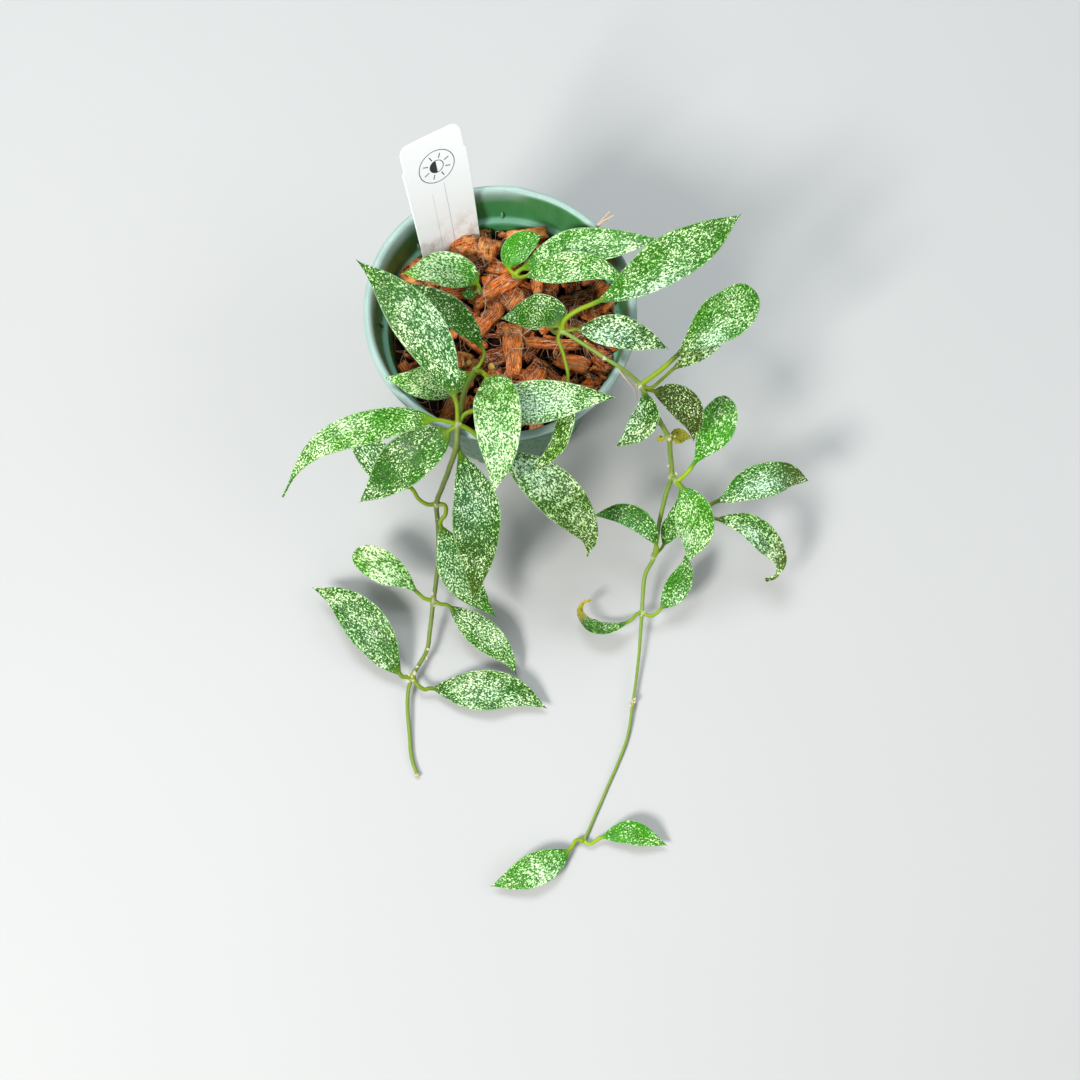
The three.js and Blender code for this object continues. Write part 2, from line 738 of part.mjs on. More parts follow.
// A block with its corners shifted a little, lying along its heading and tipped.
function chip([x, y, z], [length, width, thickness], heading, tip, draw) {
  const geometry = new THREE.BoxGeometry(length, width, thickness);
  geometry.deleteAttribute("normal");
  geometry.deleteAttribute("uv");
  const merged = mergeVertices(geometry);
  const corners = merged.getAttribute("position");
  for (let i = 0; i < corners.count; i++) {
    const shift = () => 1 + 0.3 * (draw() - 0.5);
    corners.setXYZ(i, corners.getX(i) * shift(), corners.getY(i) * shift(), corners.getZ(i) * shift());
  }
  merged.rotateX(THREE.MathUtils.degToRad(tip * 0.6));
  merged.rotateY(THREE.MathUtils.degToRad(tip));
  merged.rotateZ(THREE.MathUtils.degToRad(heading));
  return solidOf(merged.translate(x, y, z));
}

// The chips that show most, each by its middle, its length, width and thickness, its heading and its tip.
function shownChips(draw) {
  return [
    chip([-2, 16.5, 63.5], [22, 6.5, 3.4], 34, -4, draw),
    chip([10, 39.5, 65], [15.5, 4.2, 3.2], 7, 3, draw),
    chip([-15, 33.5, 64.5], [11, 9, 6], 20, 0, draw),
    chip([-5.5, 33, 64], [9, 9, 5.5], 80, 8, draw),
    chip([4.5, -10.5, 61], [17, 7, 4], 92, 4, draw),
    chip([20, -5.5, 61.5], [21, 3.6, 3], -3, 2, draw),
    chip([4, 13, 62], [9, 9, 4], 50, -8, draw),
    chip([-33, 20, 62.8], [15, 5, 3.2], -24, 2, draw),
    chip([-36.5, 25.5, 63.2], [12, 5, 3], 30, 4, draw),
    chip([42, 7.5, 61], [13, 6, 3.4], 12, 4, draw),
    chip([30, 12, 61.5], [15, 6, 4], 10, -6, draw),
    chip([-29, 27, 64], [8, 5, 4], 60, 10, draw),
    chip([-26, 24, 64], [9, 4, 4], -40, -8, draw),
    chip([13, -21, 60], [12, 6, 4], 60, 10, draw),
  ];
}

const GOLDEN_ANGLE = Math.PI * (3 - Math.sqrt(5));

// The rest of the chips lie on a widening spiral, each turned and tipped by the draw.
function strewnChips(draw) {
  const between = ([low, high]) => THREE.MathUtils.lerp(low, high, draw());
  const chips = [];
  for (let i = 0; i < BARK.chips; i++) {
    const radius = (BARK.radius - 1.4) * Math.sqrt((i + 0.5) / BARK.chips);
    const angle = i * GOLDEN_ANGLE;
    const size = [between(BARK.chipLength), between(BARK.chipWidth), between(BARK.chipThickness)];
    const [x, y] = [radius * Math.cos(angle), radius * Math.sin(angle)];
    const heading = 360 * draw();
    const tip = BARK.mostTipped * (2 * draw() - 1);
    chips.push(chip([x, y, barkTop(x, y) + BARK.mostRaised * draw()], size, heading, tip, draw));
  }
  return chips;
}

// The room that the pot leaves for the bark
function potRoom() {
  const { height, ledgeHeight, ledgeRadius, baseRadius, wall, floor, collarRadius, rounding } = POT;
  const throat = ledgeRadius - rounding / 2 - GAP;
  const collar = collarRadius - wall - LUG.proud - GAP;
  return profileAround(
    [
      [0, floor + GAP],
      [baseRadius - wall - GAP, floor + GAP],
      [throat, ledgeHeight - rounding],
      [throat, ledgeHeight + GAP],
      [collar, ledgeHeight + GAP],
      [collar, height],
      [0, height],
    ],
    POT.sides,
  );
}

function makeBarkMix() {
  const draw = randomDraws(7);
  const heap = fused([barkBed(), ...shownChips(draw), ...strewnChips(draw)]).intersect(potRoom());
  const roots = [LEFT_ROUTE, RIGHT_ROUTE, BACK_ROUTE, SMALL_ROUTE];
  const holes = [
    ...roots.map((route) => stem(route.slice(0, 3), { from: BARK.holeRadius, to: BARK.holeRadius })),
    ...roots.map(([end]) => knob(end, BARK.holeRadius)),
    ...[BACK_TOP, SMALL_TOP].map((p) => knob(p, KNOB_RADIUS + GAP)),
    makeLabel(GAP),
  ];
  return largest(heap.subtract(fused(holes)));
}

// The plant in its pot

const plant = new THREE.Group();
plant.add(
  meshOf("pot", makePot(), COLOUR.pot, 0.35),
  meshOf("bark_mix", makeBarkMix(), COLOUR.bark, 0.95),
  meshOf("plant_label", makeLabel(), COLOUR.label, 0.4),
  meshOf("left_vine", makeLeftVine(), COLOUR.leaf, 0.5),
  meshOf("right_vine", makeRightVine(), COLOUR.leaf, 0.5),
  meshOf("back_shoot", makeShoot(BACK_ROUTE, BACK_LEAVES), COLOUR.youngLeaf, 0.5),
  meshOf("small_shoot", makeShoot(SMALL_ROUTE, SMALL_LEAVES), COLOUR.leaf, 0.5),
);

export default plant;
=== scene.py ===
# %% [markdown]
# # A young hoya in its nursery pot
#
# The real plant is a trailing hoya with waxy leaves, flecked all over with silver, in a thin
# green nursery pot of orchid bark. Two long vines hang over the rim and lie on the bench in front.
# A plastic plant label stands at the back.
#
# The solid model of the plant is already packed, and this lesson dresses it. Every piece is made
# in the solid model's own frame: the origin is the middle of the pot's underside, +Z is up and the
# vines trail towards -Y. Sizes are written in millimetres and become metres as a mesh is made.

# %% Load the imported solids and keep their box
import math

import bpy
import numpy as np
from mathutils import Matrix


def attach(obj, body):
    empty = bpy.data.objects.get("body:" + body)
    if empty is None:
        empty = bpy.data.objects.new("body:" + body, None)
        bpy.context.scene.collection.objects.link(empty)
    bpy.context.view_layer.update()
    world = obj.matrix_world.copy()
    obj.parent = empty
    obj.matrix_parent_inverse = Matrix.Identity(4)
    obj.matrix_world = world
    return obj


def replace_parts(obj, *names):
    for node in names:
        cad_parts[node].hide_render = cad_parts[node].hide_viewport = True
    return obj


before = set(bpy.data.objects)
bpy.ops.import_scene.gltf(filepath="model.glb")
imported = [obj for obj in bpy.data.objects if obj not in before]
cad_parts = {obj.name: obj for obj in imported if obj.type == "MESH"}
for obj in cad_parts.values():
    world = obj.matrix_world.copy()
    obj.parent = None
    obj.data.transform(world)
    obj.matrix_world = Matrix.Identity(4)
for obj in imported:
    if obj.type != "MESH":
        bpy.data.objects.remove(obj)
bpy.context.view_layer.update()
print("solids:", sorted(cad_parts))

# %% [markdown]
# ## The camera first
#
# The photograph was taken from above and a little in front. Its view is solved from things of
# known shape: the round lip of the pot, the round ledge inside it, and the ends of the vines
# on the bench. A camera in Blender looks along its own -Z, so a turn about X of 90 degrees looks
# level along +Y, and looking down by the elevation takes that much off.

# %% Place the camera
CAMERA_PLACE = (15.1, -240.4, 653.3)
CAMERA_ELEVATION = 75.35
CAMERA_LENS = 53.45
SENSOR_WIDTH = 36.0
MM = 0.001

view_data = bpy.data.cameras.new("camera")
view_data.lens = CAMERA_LENS
view_data.sensor_width = SENSOR_WIDTH
camera = bpy.data.objects.new("camera", view_data)
camera.location = [c * MM for c in CAMERA_PLACE]
camera.rotation_euler = (math.radians(90 - CAMERA_ELEVATION), 0, 0)
bpy.context.scene.collection.objects.link(camera)
bpy.context.scene.camera = camera
print("camera height in metres:", round(camera.location.z, 3))

# %% [markdown]
# ## How a surface is worked out
#
# Nearly every piece here is one closed skin: a row of rings, each ring a row of points. A tube is
# rings along a path, a leaf is rings that start round in its stalk and go flat in its blade, and
# the pot is rings round an axis. So one helper closes such a skin, and each piece only has to say
# where its rings lie. The arrays are filled as a whole, and no loop goes over single points.

# %% A closed skin through rings of points
def with_poles(rings):
    """Rings as one list, with a pole before the first and after the last: the mean of that ring."""
    first, last = rings[0].mean(axis=0), rings[-1].mean(axis=0)
    return np.vstack([first, rings.reshape(-1, rings.shape[-1]), last])


def in_threes(*parts):
    """Three arrays stretched to one shape and put side by side, as the numbers of each point."""
    return np.stack(np.broadcast_arrays(*parts), -1)


def all_over(numbers, rings):
    """The same three numbers at every point of the rings."""
    return np.broadcast_to(np.array(numbers), rings.shape)


def skin_faces(ring_count, around):
    """The four-sided faces between neighbouring rings, and the triangles round the two poles."""
    ring, place = np.meshgrid(np.arange(ring_count - 1), np.arange(around), indexing="ij")
    here = 1 + ring * around + place
    beside = 1 + ring * around + (place + 1) % around
    sides = np.stack([here, beside, beside + around, here + around], -1).reshape(-1, 4)
    step = np.arange(around)
    after = (step + 1) % around
    start = np.stack([np.zeros_like(step), 1 + after, 1 + step], -1)
    end_ring = 1 + (ring_count - 1) * around
    pole = np.full_like(step, end_ring + around)
    end = np.stack([pole, end_ring + step, end_ring + after], -1)
    return sides, np.vstack([start, end])


def skin(rings, **marks):
    """A closed body through rings of shape (rings, around, 3), in millimetres, with its faces out.

    `marks` are arrays of the same layout that say something at each point, for the materials. A
    body's volume is a sixth of the sum of a . (b x c) over its triangles. Where that is negative,
    the faces point in and are turned over.
    """
    places = with_poles(rings)
    sides, fans = skin_faces(*rings.shape[:2])
    triangles = np.vstack([sides[:, [0, 1, 2]], sides[:, [0, 2, 3]], fans])
    a, b, c = (places[triangles[:, k]] for k in range(3))
    turned_in = np.einsum("ij,ij->i", a, np.cross(b, c)).sum() < 0
    if turned_in:
        sides, fans = sides[:, ::-1], fans[:, ::-1]
    marked = {name: with_poles(values) for name, values in marks.items()}
    return {"places": places, "sides": sides, "fans": fans, "marks": marked}


# %% [markdown]
# A piece is one object made of such bodies, one after another in the same mesh. Each body's faces
# count its own points from zero, so they are shifted by the number of points before it.

# %% One object made of closed bodies
def mark_points(mesh, name, values):
    """Stores three numbers at each point of a mesh, for a finish to read."""
    stored = mesh.attributes.new(name, "FLOAT_VECTOR", "POINT")
    stored.data.foreach_set("vector", np.asarray(values, np.float32).ravel())


def piece(name, bodies, material):
    """One object made of closed bodies, in metres, riding on the plant's one body."""
    counts = [len(b["places"]) for b in bodies]
    starts = np.concatenate([[0], np.cumsum(counts)[:-1]])
    faces = []
    for kind in ("sides", "fans"):
        faces += np.vstack([b[kind] + s for b, s in zip(bodies, starts)]).tolist()
    mesh = bpy.data.meshes.new(name)
    mesh.from_pydata((np.vstack([b["places"] for b in bodies]) * MM).tolist(), [], faces)
    for mark in bodies[0]["marks"]:
        mark_points(mesh, mark, np.vstack([b["marks"][mark] for b in bodies]))
    mesh.shade_smooth()
    mesh.materials.append(material)
    made = bpy.data.objects.new(name, mesh)
    bpy.context.scene.collection.objects.link(made)
    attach(made, "root")
    print(f"{name}: {len(bodies)} bodies, {len(faces)} faces")
    return made


# %% [markdown]
# ## Paths
#
# A vine is drawn as a few given points, and a smooth curve goes through all of them. The
# curve between two points is a cubic whose slope at each is half the step between its neighbours,
# which is the kind called Catmull-Rom. Beyond each end a point is added that mirrors the next one.

# %% Smooth paths and the frames along them
SAMPLES_PER_SPAN = 60


def smooth_path(points):
    """A curve through points: (0.5 of) 2b + (c-a)w + (2a-5b+4c-d)w^2 + (3b-a-3c+d)w^3 on each span."""
    p = np.array(points, float)
    p = np.vstack([2 * p[0] - p[1], p, 2 * p[-1] - p[-2]])
    t = np.linspace(0, len(points) - 1, SAMPLES_PER_SPAN * (len(points) - 1) + 1)
    span = np.minimum(t.astype(int), len(points) - 2)
    w = (t - span)[:, None]
    a, b, c, d = (p[span + k] for k in range(4))
    return 0.5 * (2 * b + (c - a) * w + (2 * a - 5 * b + 4 * c - d) * w**2 + (3 * b - a - 3 * c + d) * w**3)


def unit(v):
    return v / np.linalg.norm(v, axis=-1, keepdims=True)


def along(path, lengths):
    """Places and directions on a finely drawn path at the given lengths from its start."""
    steps = np.linalg.norm(np.diff(path, axis=0), axis=1)
    reached = np.concatenate([[0], np.cumsum(steps)])
    places = np.stack([np.interp(lengths, reached, path[:, k]) for k in range(3)], -1)
    slopes = np.gradient(path, reached, axis=0)
    directions = np.stack([np.interp(lengths, reached, slopes[:, k]) for k in range(3)], -1)
    return places, unit(directions)


def path_length(path):
    return np.linalg.norm(np.diff(path, axis=0), axis=1).sum()


def length_at(path, place):
    """How far along a path its nearest point to a place is."""
    nearest = np.argmin(np.linalg.norm(path - np.array(place, float), axis=1))
    return path_length(path[: nearest + 1])


# %% [markdown]
# ## Finishes as wiring
#
# A finish is a small circuit of nodes: noise and marks go in, a colour, a roughness and a bump come
# out. This helper adds one node at a time and hands back the socket with its result, so each finish
# below reads as a few lines. Values that are the same all over are set on the shader itself.

# %% A helper that wires finishes
class Wiring:
    """Adds nodes to one finish. Each call returns the socket that carries its result."""

    def __init__(self, name, **sockets):
        self.finish = bpy.data.materials.new(name)
        self.finish.use_nodes = True
        self.tree = self.finish.node_tree
        self.shader = self.tree.nodes["Principled BSDF"]
        for socket, value in sockets.items():
            self.shader.inputs[socket.replace("_", " ")].default_value = value

    def put(self, socket, value):
        if isinstance(value, bpy.types.NodeSocket):
            self.tree.links.new(value, socket)
        elif isinstance(value, tuple) and len(socket.default_value) == 4:
            socket.default_value = (*value, 1.0)[:4]
        else:
            socket.default_value = value

    def add(self, kind, inputs, out=0, **settings):
        made = self.tree.nodes.new(kind)
        for name, value in settings.items():
            setattr(made, name, value)
        for key, value in inputs.items():
            self.put(made.inputs[key], value)
        return made.outputs[out]

    def mark(self, name):
        """The three numbers that a piece carries under this name at each point."""
        return self.add("ShaderNodeAttribute", {}, "Vector", attribute_name=name)

    def own_place(self):
        return self.add("ShaderNodeTexCoord", {}, "Object")

    def split(self, vector):
        node = self.tree.nodes.new("ShaderNodeSeparateXYZ")
        self.put(node.inputs[0], vector)
        return node.outputs

    def stretched(self, vector, scale):
        return self.add("ShaderNodeMapping", {"Vector": vector, "Scale": scale})

    def noise(self, vector, scale, detail=2.0, roughness=0.5, distortion=0.0):
        return self.add("ShaderNodeTexNoise", {
            "Vector": vector, "Scale": scale, "Detail": detail, "Roughness": roughness,
            "Distortion": distortion}, "Fac")

    def cells(self, vector, scale, **settings):
        """How far each point is from the nearest of scattered seeds, in cells."""
        return self.add("ShaderNodeTexVoronoi", {"Vector": vector, "Scale": scale}, "Distance", **settings)

    def sum(self, operation, a, b=0.0, c=0.0):
        return self.add("ShaderNodeMath", {0: a, 1: b, 2: c}, operation=operation)

    def times(self, a, b):
        return self.sum("MULTIPLY", a, b)

    def off(self, value, middle):
        """How far a value is from a middle one, to either side."""
        return self.sum("ABSOLUTE", self.sum("SUBTRACT", value, middle))

    def step(self, value, low, high, start=0.0, end=1.0):
        """A soft step from `start` to `end` as the value goes from `low` to `high`."""
        return self.add("ShaderNodeMapRange", {
            "Value": value, "From Min": low, "From Max": high, "To Min": start, "To Max": end},
            interpolation_type="SMOOTHSTEP")

    def blend(self, share, a, b, how="MIX"):
        return self.add("ShaderNodeMix", {0: share, 6: a, 7: b}, 2, data_type="RGBA", blend_type=how)

    def paint(self, colour, *coats):
        """Lays coats over a colour, in order: each is a share from 0 to 1 and what it brings."""
        for share, coat in coats:
            colour = self.blend(share, colour, coat)
        return colour

    def bump(self, height, depth, strength=1.0, normal=None):
        """A relief of `depth` metres between a height of 0 and 1."""
        inputs = {"Height": height, "Distance": depth, "Strength": strength}
        if normal is not None:
            inputs["Normal"] = normal
        return self.add("ShaderNodeBump", inputs, "Normal")

    def wear(self, **sockets):
        """Joins results to the shader's sockets and hands back the finish."""
        for name, value in sockets.items():
            self.put(self.shader.inputs[name.replace("_", " ")], value)
        print(f"{self.finish.name} finish: {len(self.tree.nodes)} nodes")
        return self.finish


# %% [markdown]
# ## Waxy leaves with silver flecks
#
# The flecks are small pockets of air under the leaf's skin. They are scattered densely over the
# blade, drawn out a little along it, run together in clouds, and thin out near the stalk. The
# margin has a fine pale line, and the blade's foot and its stalk go yellow-green. Each leaf has
# its own tone, from the blue-green of an old leaf to the fresh green of a young one.
#
# The pattern is noise over the blade's own two directions, in millimetres, cut at a threshold.
# The leaf carries that place as a mark, so the flecks follow it round every bend. A second mark
# says where the silver runs together into a bluish sheen, partly a painted highlight, and where the
# blade has gone olive.

# %% The leaf finish
def leaf_finish():
    w = Wiring("leaf", Coat_Weight=0.04, Coat_Roughness=0.22, Specular_IOR_Level=0.13)
    place = w.mark("blade_mm")
    tone, flecks, top_side = w.split(w.mark("leaf_look"))
    share, across, aged = w.split(w.mark("leaf_form"))
    # the silver bell is where the flecks run together into a bluish sheen, partly a painted highlight
    silver_and_painted_sheen, olive, _ = w.split(w.mark("leaf_painted_sheen_and_olive"))
    off_middle = w.sum("ABSOLUTE", across)

    clouds = w.noise(place, 0.11, 2.0)
    drawn_out = w.stretched(place, (0.8, 1.15, 1))
    fine = w.noise(drawn_out, 1.4, 4.0, 0.7, 0.15)
    dust = w.noise(drawn_out, 3.0, 2.0, 0.6)
    # the threshold falls with more flecks and in a cloud, and rises towards the stalk
    cut = w.sum("MULTIPLY_ADD", flecks, -0.22, 0.664)
    cut = w.sum("MULTIPLY_ADD", clouds, -0.16, w.sum("ADD", cut, 0.08))
    cut = w.sum("MULTIPLY_ADD", silver_and_painted_sheen, -0.045, cut)
    cut = w.sum("ADD", cut, w.step(share, 0.16, -0.04, 0.0, 0.12))
    fleck = w.step(w.sum("SUBTRACT", fine, cut), -0.006, 0.014)
    fleck = w.sum("MAXIMUM", fleck, w.step(w.sum("SUBTRACT", dust, cut), 0.05, 0.08, 0.0, 0.45))
    fleck = w.times(fleck, w.step(share, -0.03, 0.06))

    green = w.blend(tone, (0.004, 0.022, 0.0003), (0.036, 0.27, 0.001))
    mottle = w.step(w.noise(place, 0.3, 3.0), 0.3, 0.7)
    green = w.blend(mottle, w.blend(0.4, green, (0.015, 0.035, 0.004)), green)
    # over the green: darker specks, olive, and a greyish-blue veil of painted sheen where the silver runs
    # together
    green = w.paint(
        green,
        (w.step(dust, 0.47, 0.37, 0.0, 0.75), (0.002, 0.012, 0.0005)),
        (w.times(olive, 0.85), (0.045, 0.047, 0.004)),
        (w.times(silver_and_painted_sheen, 0.35), (0.035, 0.125, 0.055)))
    shade = w.step(w.sum("ADD", clouds, dust), 0.8, 1.2)
    bright = w.blend(shade, (0.33, 0.69, 0.11), (0.76, 1.0, 0.53))
    # where the silver runs together the flecks go bluish-white: silver flecking with a painted highlight
    bright = w.blend(silver_and_painted_sheen, bright, (0.58, 0.83, 0.57))
    foot = w.blend(tone, (0.12, 0.18, 0.010), (0.30, 0.44, 0.014))
    brown = w.step(w.noise(place, 0.9, 3.0), 0.56, 0.62)
    old = w.blend(brown, (0.62, 0.52, 0.04), (0.16, 0.07, 0.02))
    # over the flecked green: the midrib, the pale margin, the foot and what has aged
    colour = w.paint(
        w.blend(fleck, green, bright),
        (w.step(off_middle, 0.035, 0.0, 0.0, 0.3), (0.12, 0.23, 0.04)),
        (w.step(off_middle, 0.93, 0.985, 0.0, 0.6), (0.34, 0.50, 0.28)),
        (w.step(share, 0.11, -0.04, 0.0, 0.85), foot),
        (aged, old))
    under = w.blend(tone, (0.06, 0.17, 0.06), (0.14, 0.32, 0.08))
    colour = w.blend(top_side, under, colour)

    ripples = w.noise(w.stretched(place, (0.12, 0.6, 1)), 0.8, 2.0)
    relief = w.bump(ripples, 0.0012, 0.35)
    relief = w.bump(fine, 0.00025, 0.5, relief)
    return w.wear(Base_Color=colour, Normal=relief, Roughness=w.sum("MULTIPLY_ADD", fleck, 0.1, 0.34))


LEAF = leaf_finish()

# %% [markdown]
# ## Stems
#
# The vines' skin is smooth and fleshy, yellow-green where it is young and olive-brown where it has
# hardened, with faint streaks along it and a few corky dots.

# %% The stem finish
def stem_finish():
    w = Wiring("stem", Roughness=0.5)
    place = w.mark("stem_mm")
    age, pale, withered = w.split(w.mark("stem_look"))
    streaks = w.noise(w.stretched(place, (0.18, 1.6, 1)), 1.0, 3.0)
    young = w.blend(streaks, (0.08, 0.16, 0.006), (0.27, 0.42, 0.045))
    hard = w.blend(streaks, (0.034, 0.048, 0.006), (0.13, 0.15, 0.03))
    corky = w.step(w.cells(place, 0.55), 0.16, 0.1)
    scar = w.blend(w.noise(place, 2.5), (0.34, 0.28, 0.12), (0.82, 0.78, 0.56))
    dry = w.blend(streaks, (0.36, 0.27, 0.19), (0.74, 0.62, 0.50))
    colour = w.paint(
        w.blend(age, young, hard),
        (w.times(corky, 0.5), (0.46, 0.40, 0.22)),
        (pale, scar),
        (withered, dry))
    return w.wear(Base_Color=colour, Normal=w.bump(streaks, 0.0003, 0.5))


STEM = stem_finish()

# %% [markdown]
# ## Pot plastic
#
# The pot is blow-moulded from thin green polypropylene, which lets some light through. Its rolled
# lip and the edge of the ledge inside it are painted pale and bluish as highlights, the collar's
# inside is a mid green with painted shade that makes it darker and yellower towards the left, and
# the outside is a deep green.

# %% The pot finish
def pot_finish():
    w = Wiring("pot_plastic", Roughness=0.34, Specular_IOR_Level=0.32)
    w.shader.inputs["Subsurface Weight"].default_value = 0.15
    w.shader.inputs["Subsurface Radius"].default_value = (0.002, 0.004, 0.003)
    place = w.own_place()
    x, y, z = w.split(place)
    turn = w.sum("ARCTAN2", y, x)
    inside, lip_highlight, ledge_highlight = w.split(w.mark("pot_look"))
    round_and_up = w.add("ShaderNodeCombineXYZ", {0: w.times(turn, 3.0), 1: 0.0, 2: w.times(z, 12.0)})
    flow = w.noise(round_and_up, 2.4, 3.0)
    scuffs = w.noise(w.stretched(place, (1, 1, 0.25)), 700.0, 3.0, 0.6)
    wall = w.blend(flow, (0.028, 0.15, 0.045), (0.068, 0.285, 0.095))
    # painted shade: the inner wall goes darker and yellower towards the left
    wall = w.blend(w.step(x, 0.0, -0.045, 0.0, 0.8), wall, (0.030, 0.080, 0.010))
    outer = w.blend(flow, (0.022, 0.115, 0.045), (0.045, 0.185, 0.075))
    # the pale bluish colour of the painted highlight on the lip
    pale = w.blend(w.noise(place, 60.0), (0.26, 0.37, 0.33), (0.35, 0.48, 0.43))
    # over the wall: a painted highlight on the ledge's edge and over the lip, then scuffs
    colour = w.paint(
        w.blend(inside, outer, wall),
        (w.times(ledge_highlight, 0.75), (0.20, 0.44, 0.33)),
        (lip_highlight, pale),
        (w.step(scuffs, 0.66, 0.78, 0.0, 0.16), (0.4, 0.52, 0.45)))
    relief = w.bump(flow, 0.0006, 0.4)
    relief = w.bump(scuffs, 0.00008, 0.6, relief)
    return w.wear(Base_Color=colour, Normal=relief, Roughness=w.step(scuffs, 0.3, 0.8, 0.28, 0.5))


POT_PLASTIC = pot_finish()

# %% [markdown]
# ## Bark
#
# Orchid bark is chopped pine bark: flat chips with a rust-red to orange skin, streaked along the
# grain, with paler broken ends and dark gaps between, whose darkness is painted shade. Each chip
# carries its own grain direction and its own lightness, and goes darker lower down between the
# chips, which is painted shade too.

# %% The bark finishes
def bark_finish():
    w = Wiring("bark", Roughness=0.85, Specular_IOR_Level=0.15)
    place = w.mark("grain_mm")
    # the third number is painted shade, darker lower down between the chips
    light, tan, gap_shade = w.split(w.mark("chip_look"))
    grain = w.noise(w.stretched(place, (0.16, 1.3, 1.3)), 1.5, 5.0, 0.65)
    blotches = w.noise(place, 0.35, 3.0)
    crumbs = w.noise(place, 2.6, 3.0, 0.7)
    dark = (0.028, 0.003, 0.001)
    rust = w.blend(light, (0.26, 0.022, 0.004), (1.0, 0.22, 0.022))
    streaks = w.noise(w.stretched(place, (0.12, 2.2, 2.2)), 1.3, 3.0, 0.6)
    # over the rust-red: tan blotches, pale streaks and crumbs, pits painted dark as shade, and painted shade
    # low down between the chips
    colour = w.paint(
        w.blend(w.step(w.sum("MULTIPLY_ADD", light, 0.16, grain), 0.52, 0.65), dark, rust),
        (w.times(w.step(blotches, 0.42, 0.62), tan), (1.0, 0.42, 0.10)),
        (w.step(streaks, 0.57, 0.64, 0.0, 0.75), (1.0, 0.76, 0.52)),
        (w.step(crumbs, 0.59, 0.67, 0.0, 0.75), (1.0, 0.72, 0.42)),
        (w.step(crumbs, 0.42, 0.32, 0.0, 0.7), dark),
        (w.times(gap_shade, 0.93), (0.012, 0.002, 0.001)))
    relief = w.bump(grain, 0.0016, 0.8)
    relief = w.bump(crumbs, 0.0005, 0.7, relief)
    return w.wear(Base_Color=colour, Normal=relief)


def fibre_finish():
    w = Wiring("fibre", Roughness=0.75, Specular_IOR_Level=0.25)
    light, red, _ = w.split(w.mark("fibre_look"))
    mottle = w.noise(w.own_place(), 900.0)
    return w.wear(Base_Color=w.paint(
        w.blend(light, (0.12, 0.035, 0.012), (1.0, 0.76, 0.48)),
        (red, (0.55, 0.16, 0.04)),
        (w.step(mottle, 0.35, 0.65, 0.0, 0.4), (0.12, 0.06, 0.03))))


def prill_finish():
    w = Wiring("prill", Roughness=0.3)
    mottle = w.noise(w.own_place(), 1400.0, 3.0)
    return w.wear(Base_Color=w.blend(mottle, (0.56, 0.28, 0.03), (0.92, 0.66, 0.16)),
                  Normal=w.bump(mottle, 0.0001, 0.5))


BARK, FIBRE, PRILL = bark_finish(), fibre_finish(), prill_finish()

# %% [markdown]
# ## Label plastic
#
# The label is a strip of white polystyrene, slightly soiled where it stands in the bark. It carries
# a generic half-shade sign, a ring with a half-filled sun in it, and two plain ruled lines. The
# label has its own flat place in millimetres as a mark, and each inked shape is a distance on it,
# cut at a width.

# %% The label finish
SIGN_MIDDLE = (0.4, -15.0)
SIGN_RADIUS = 7.4
SUN_RADIUS = 2.8
RAY_COUNT = 8
RAY_START, RAY_END = (3.65, 3.75), (5.95, 5.85)
# the ink of a ring, a ray or a ruled line fades between two distances from its middle
RING_FADE, RAY_FADE, RULE_FADE = (0.20, 0.14), (0.24, 0.18), (0.17, 0.12)
# each ruled line's place across, its top and its end down the label, and how dark it is
RULED_LINES = ((1.9, -24.0, -58.0, 0.42), (-3.6, -27.0, -58.0, 0.26))
INK = (0.03, 0.035, 0.045)


def label_finish():
    w = Wiring("label_plastic", Roughness=0.38)
    place = w.mark("label_mm")
    across, down, face = w.split(place)
    x = w.sum("SUBTRACT", across, SIGN_MIDDLE[0])
    y = w.sum("SUBTRACT", down, SIGN_MIDDLE[1])
    reach = w.sum("SQRT", w.sum("ADD", w.times(x, x), w.times(y, y)))
    on_ring = w.step(w.off(reach, SIGN_RADIUS), *RING_FADE)
    on_edge = w.step(w.off(reach, SUN_RADIUS), *RING_FADE)
    half = w.times(w.step(reach, SUN_RADIUS + 0.03, SUN_RADIUS - 0.03), w.step(x, 0.03, -0.03))
    turn = w.sum("ARCTAN2", y, x)
    sector = 2 * math.pi / RAY_COUNT
    off_ray = w.off(w.sum("FLOORED_MODULO", turn, sector), sector / 2)
    on_ray = w.step(w.times(off_ray, reach), *RAY_FADE)
    span = w.times(w.step(reach, *RAY_START), w.step(reach, *RAY_END))
    ink = w.sum("MAXIMUM", on_ring, w.sum("MAXIMUM", on_edge, half))
    ink = w.sum("MAXIMUM", ink, w.times(on_ray, span))
    for line, top, end, strength in RULED_LINES:
        thin = w.step(w.off(across, line), *RULE_FADE, 0.0, strength)
        run = w.times(w.step(down, top, top - 0.1), w.step(down, end, end + 0.1))
        ink = w.sum("MAXIMUM", ink, w.times(thin, run))
    ink = w.times(ink, w.step(face, 0.2, 0.4))
    patches = w.noise(place, 0.16, 4.0, 0.6)
    specks = w.noise(place, 1.3, 4.0, 0.65)
    low = w.step(down, -36.0, -64.0)
    soil = w.times(low, w.step(w.sum("ADD", patches, w.times(specks, 0.4)), 0.62, 0.9))
    colour = w.paint(
        (0.955, 0.972, 1.0),
        (w.times(soil, 0.75), (0.50, 0.38, 0.22)),
        (w.step(specks, 0.68, 0.74, 0.0, 0.18), (0.45, 0.40, 0.34)),
        (ink, INK))
    return w.wear(Base_Color=colour, Roughness=w.step(specks, 0.3, 0.8, 0.3, 0.46))


LABEL_PLASTIC = label_finish()

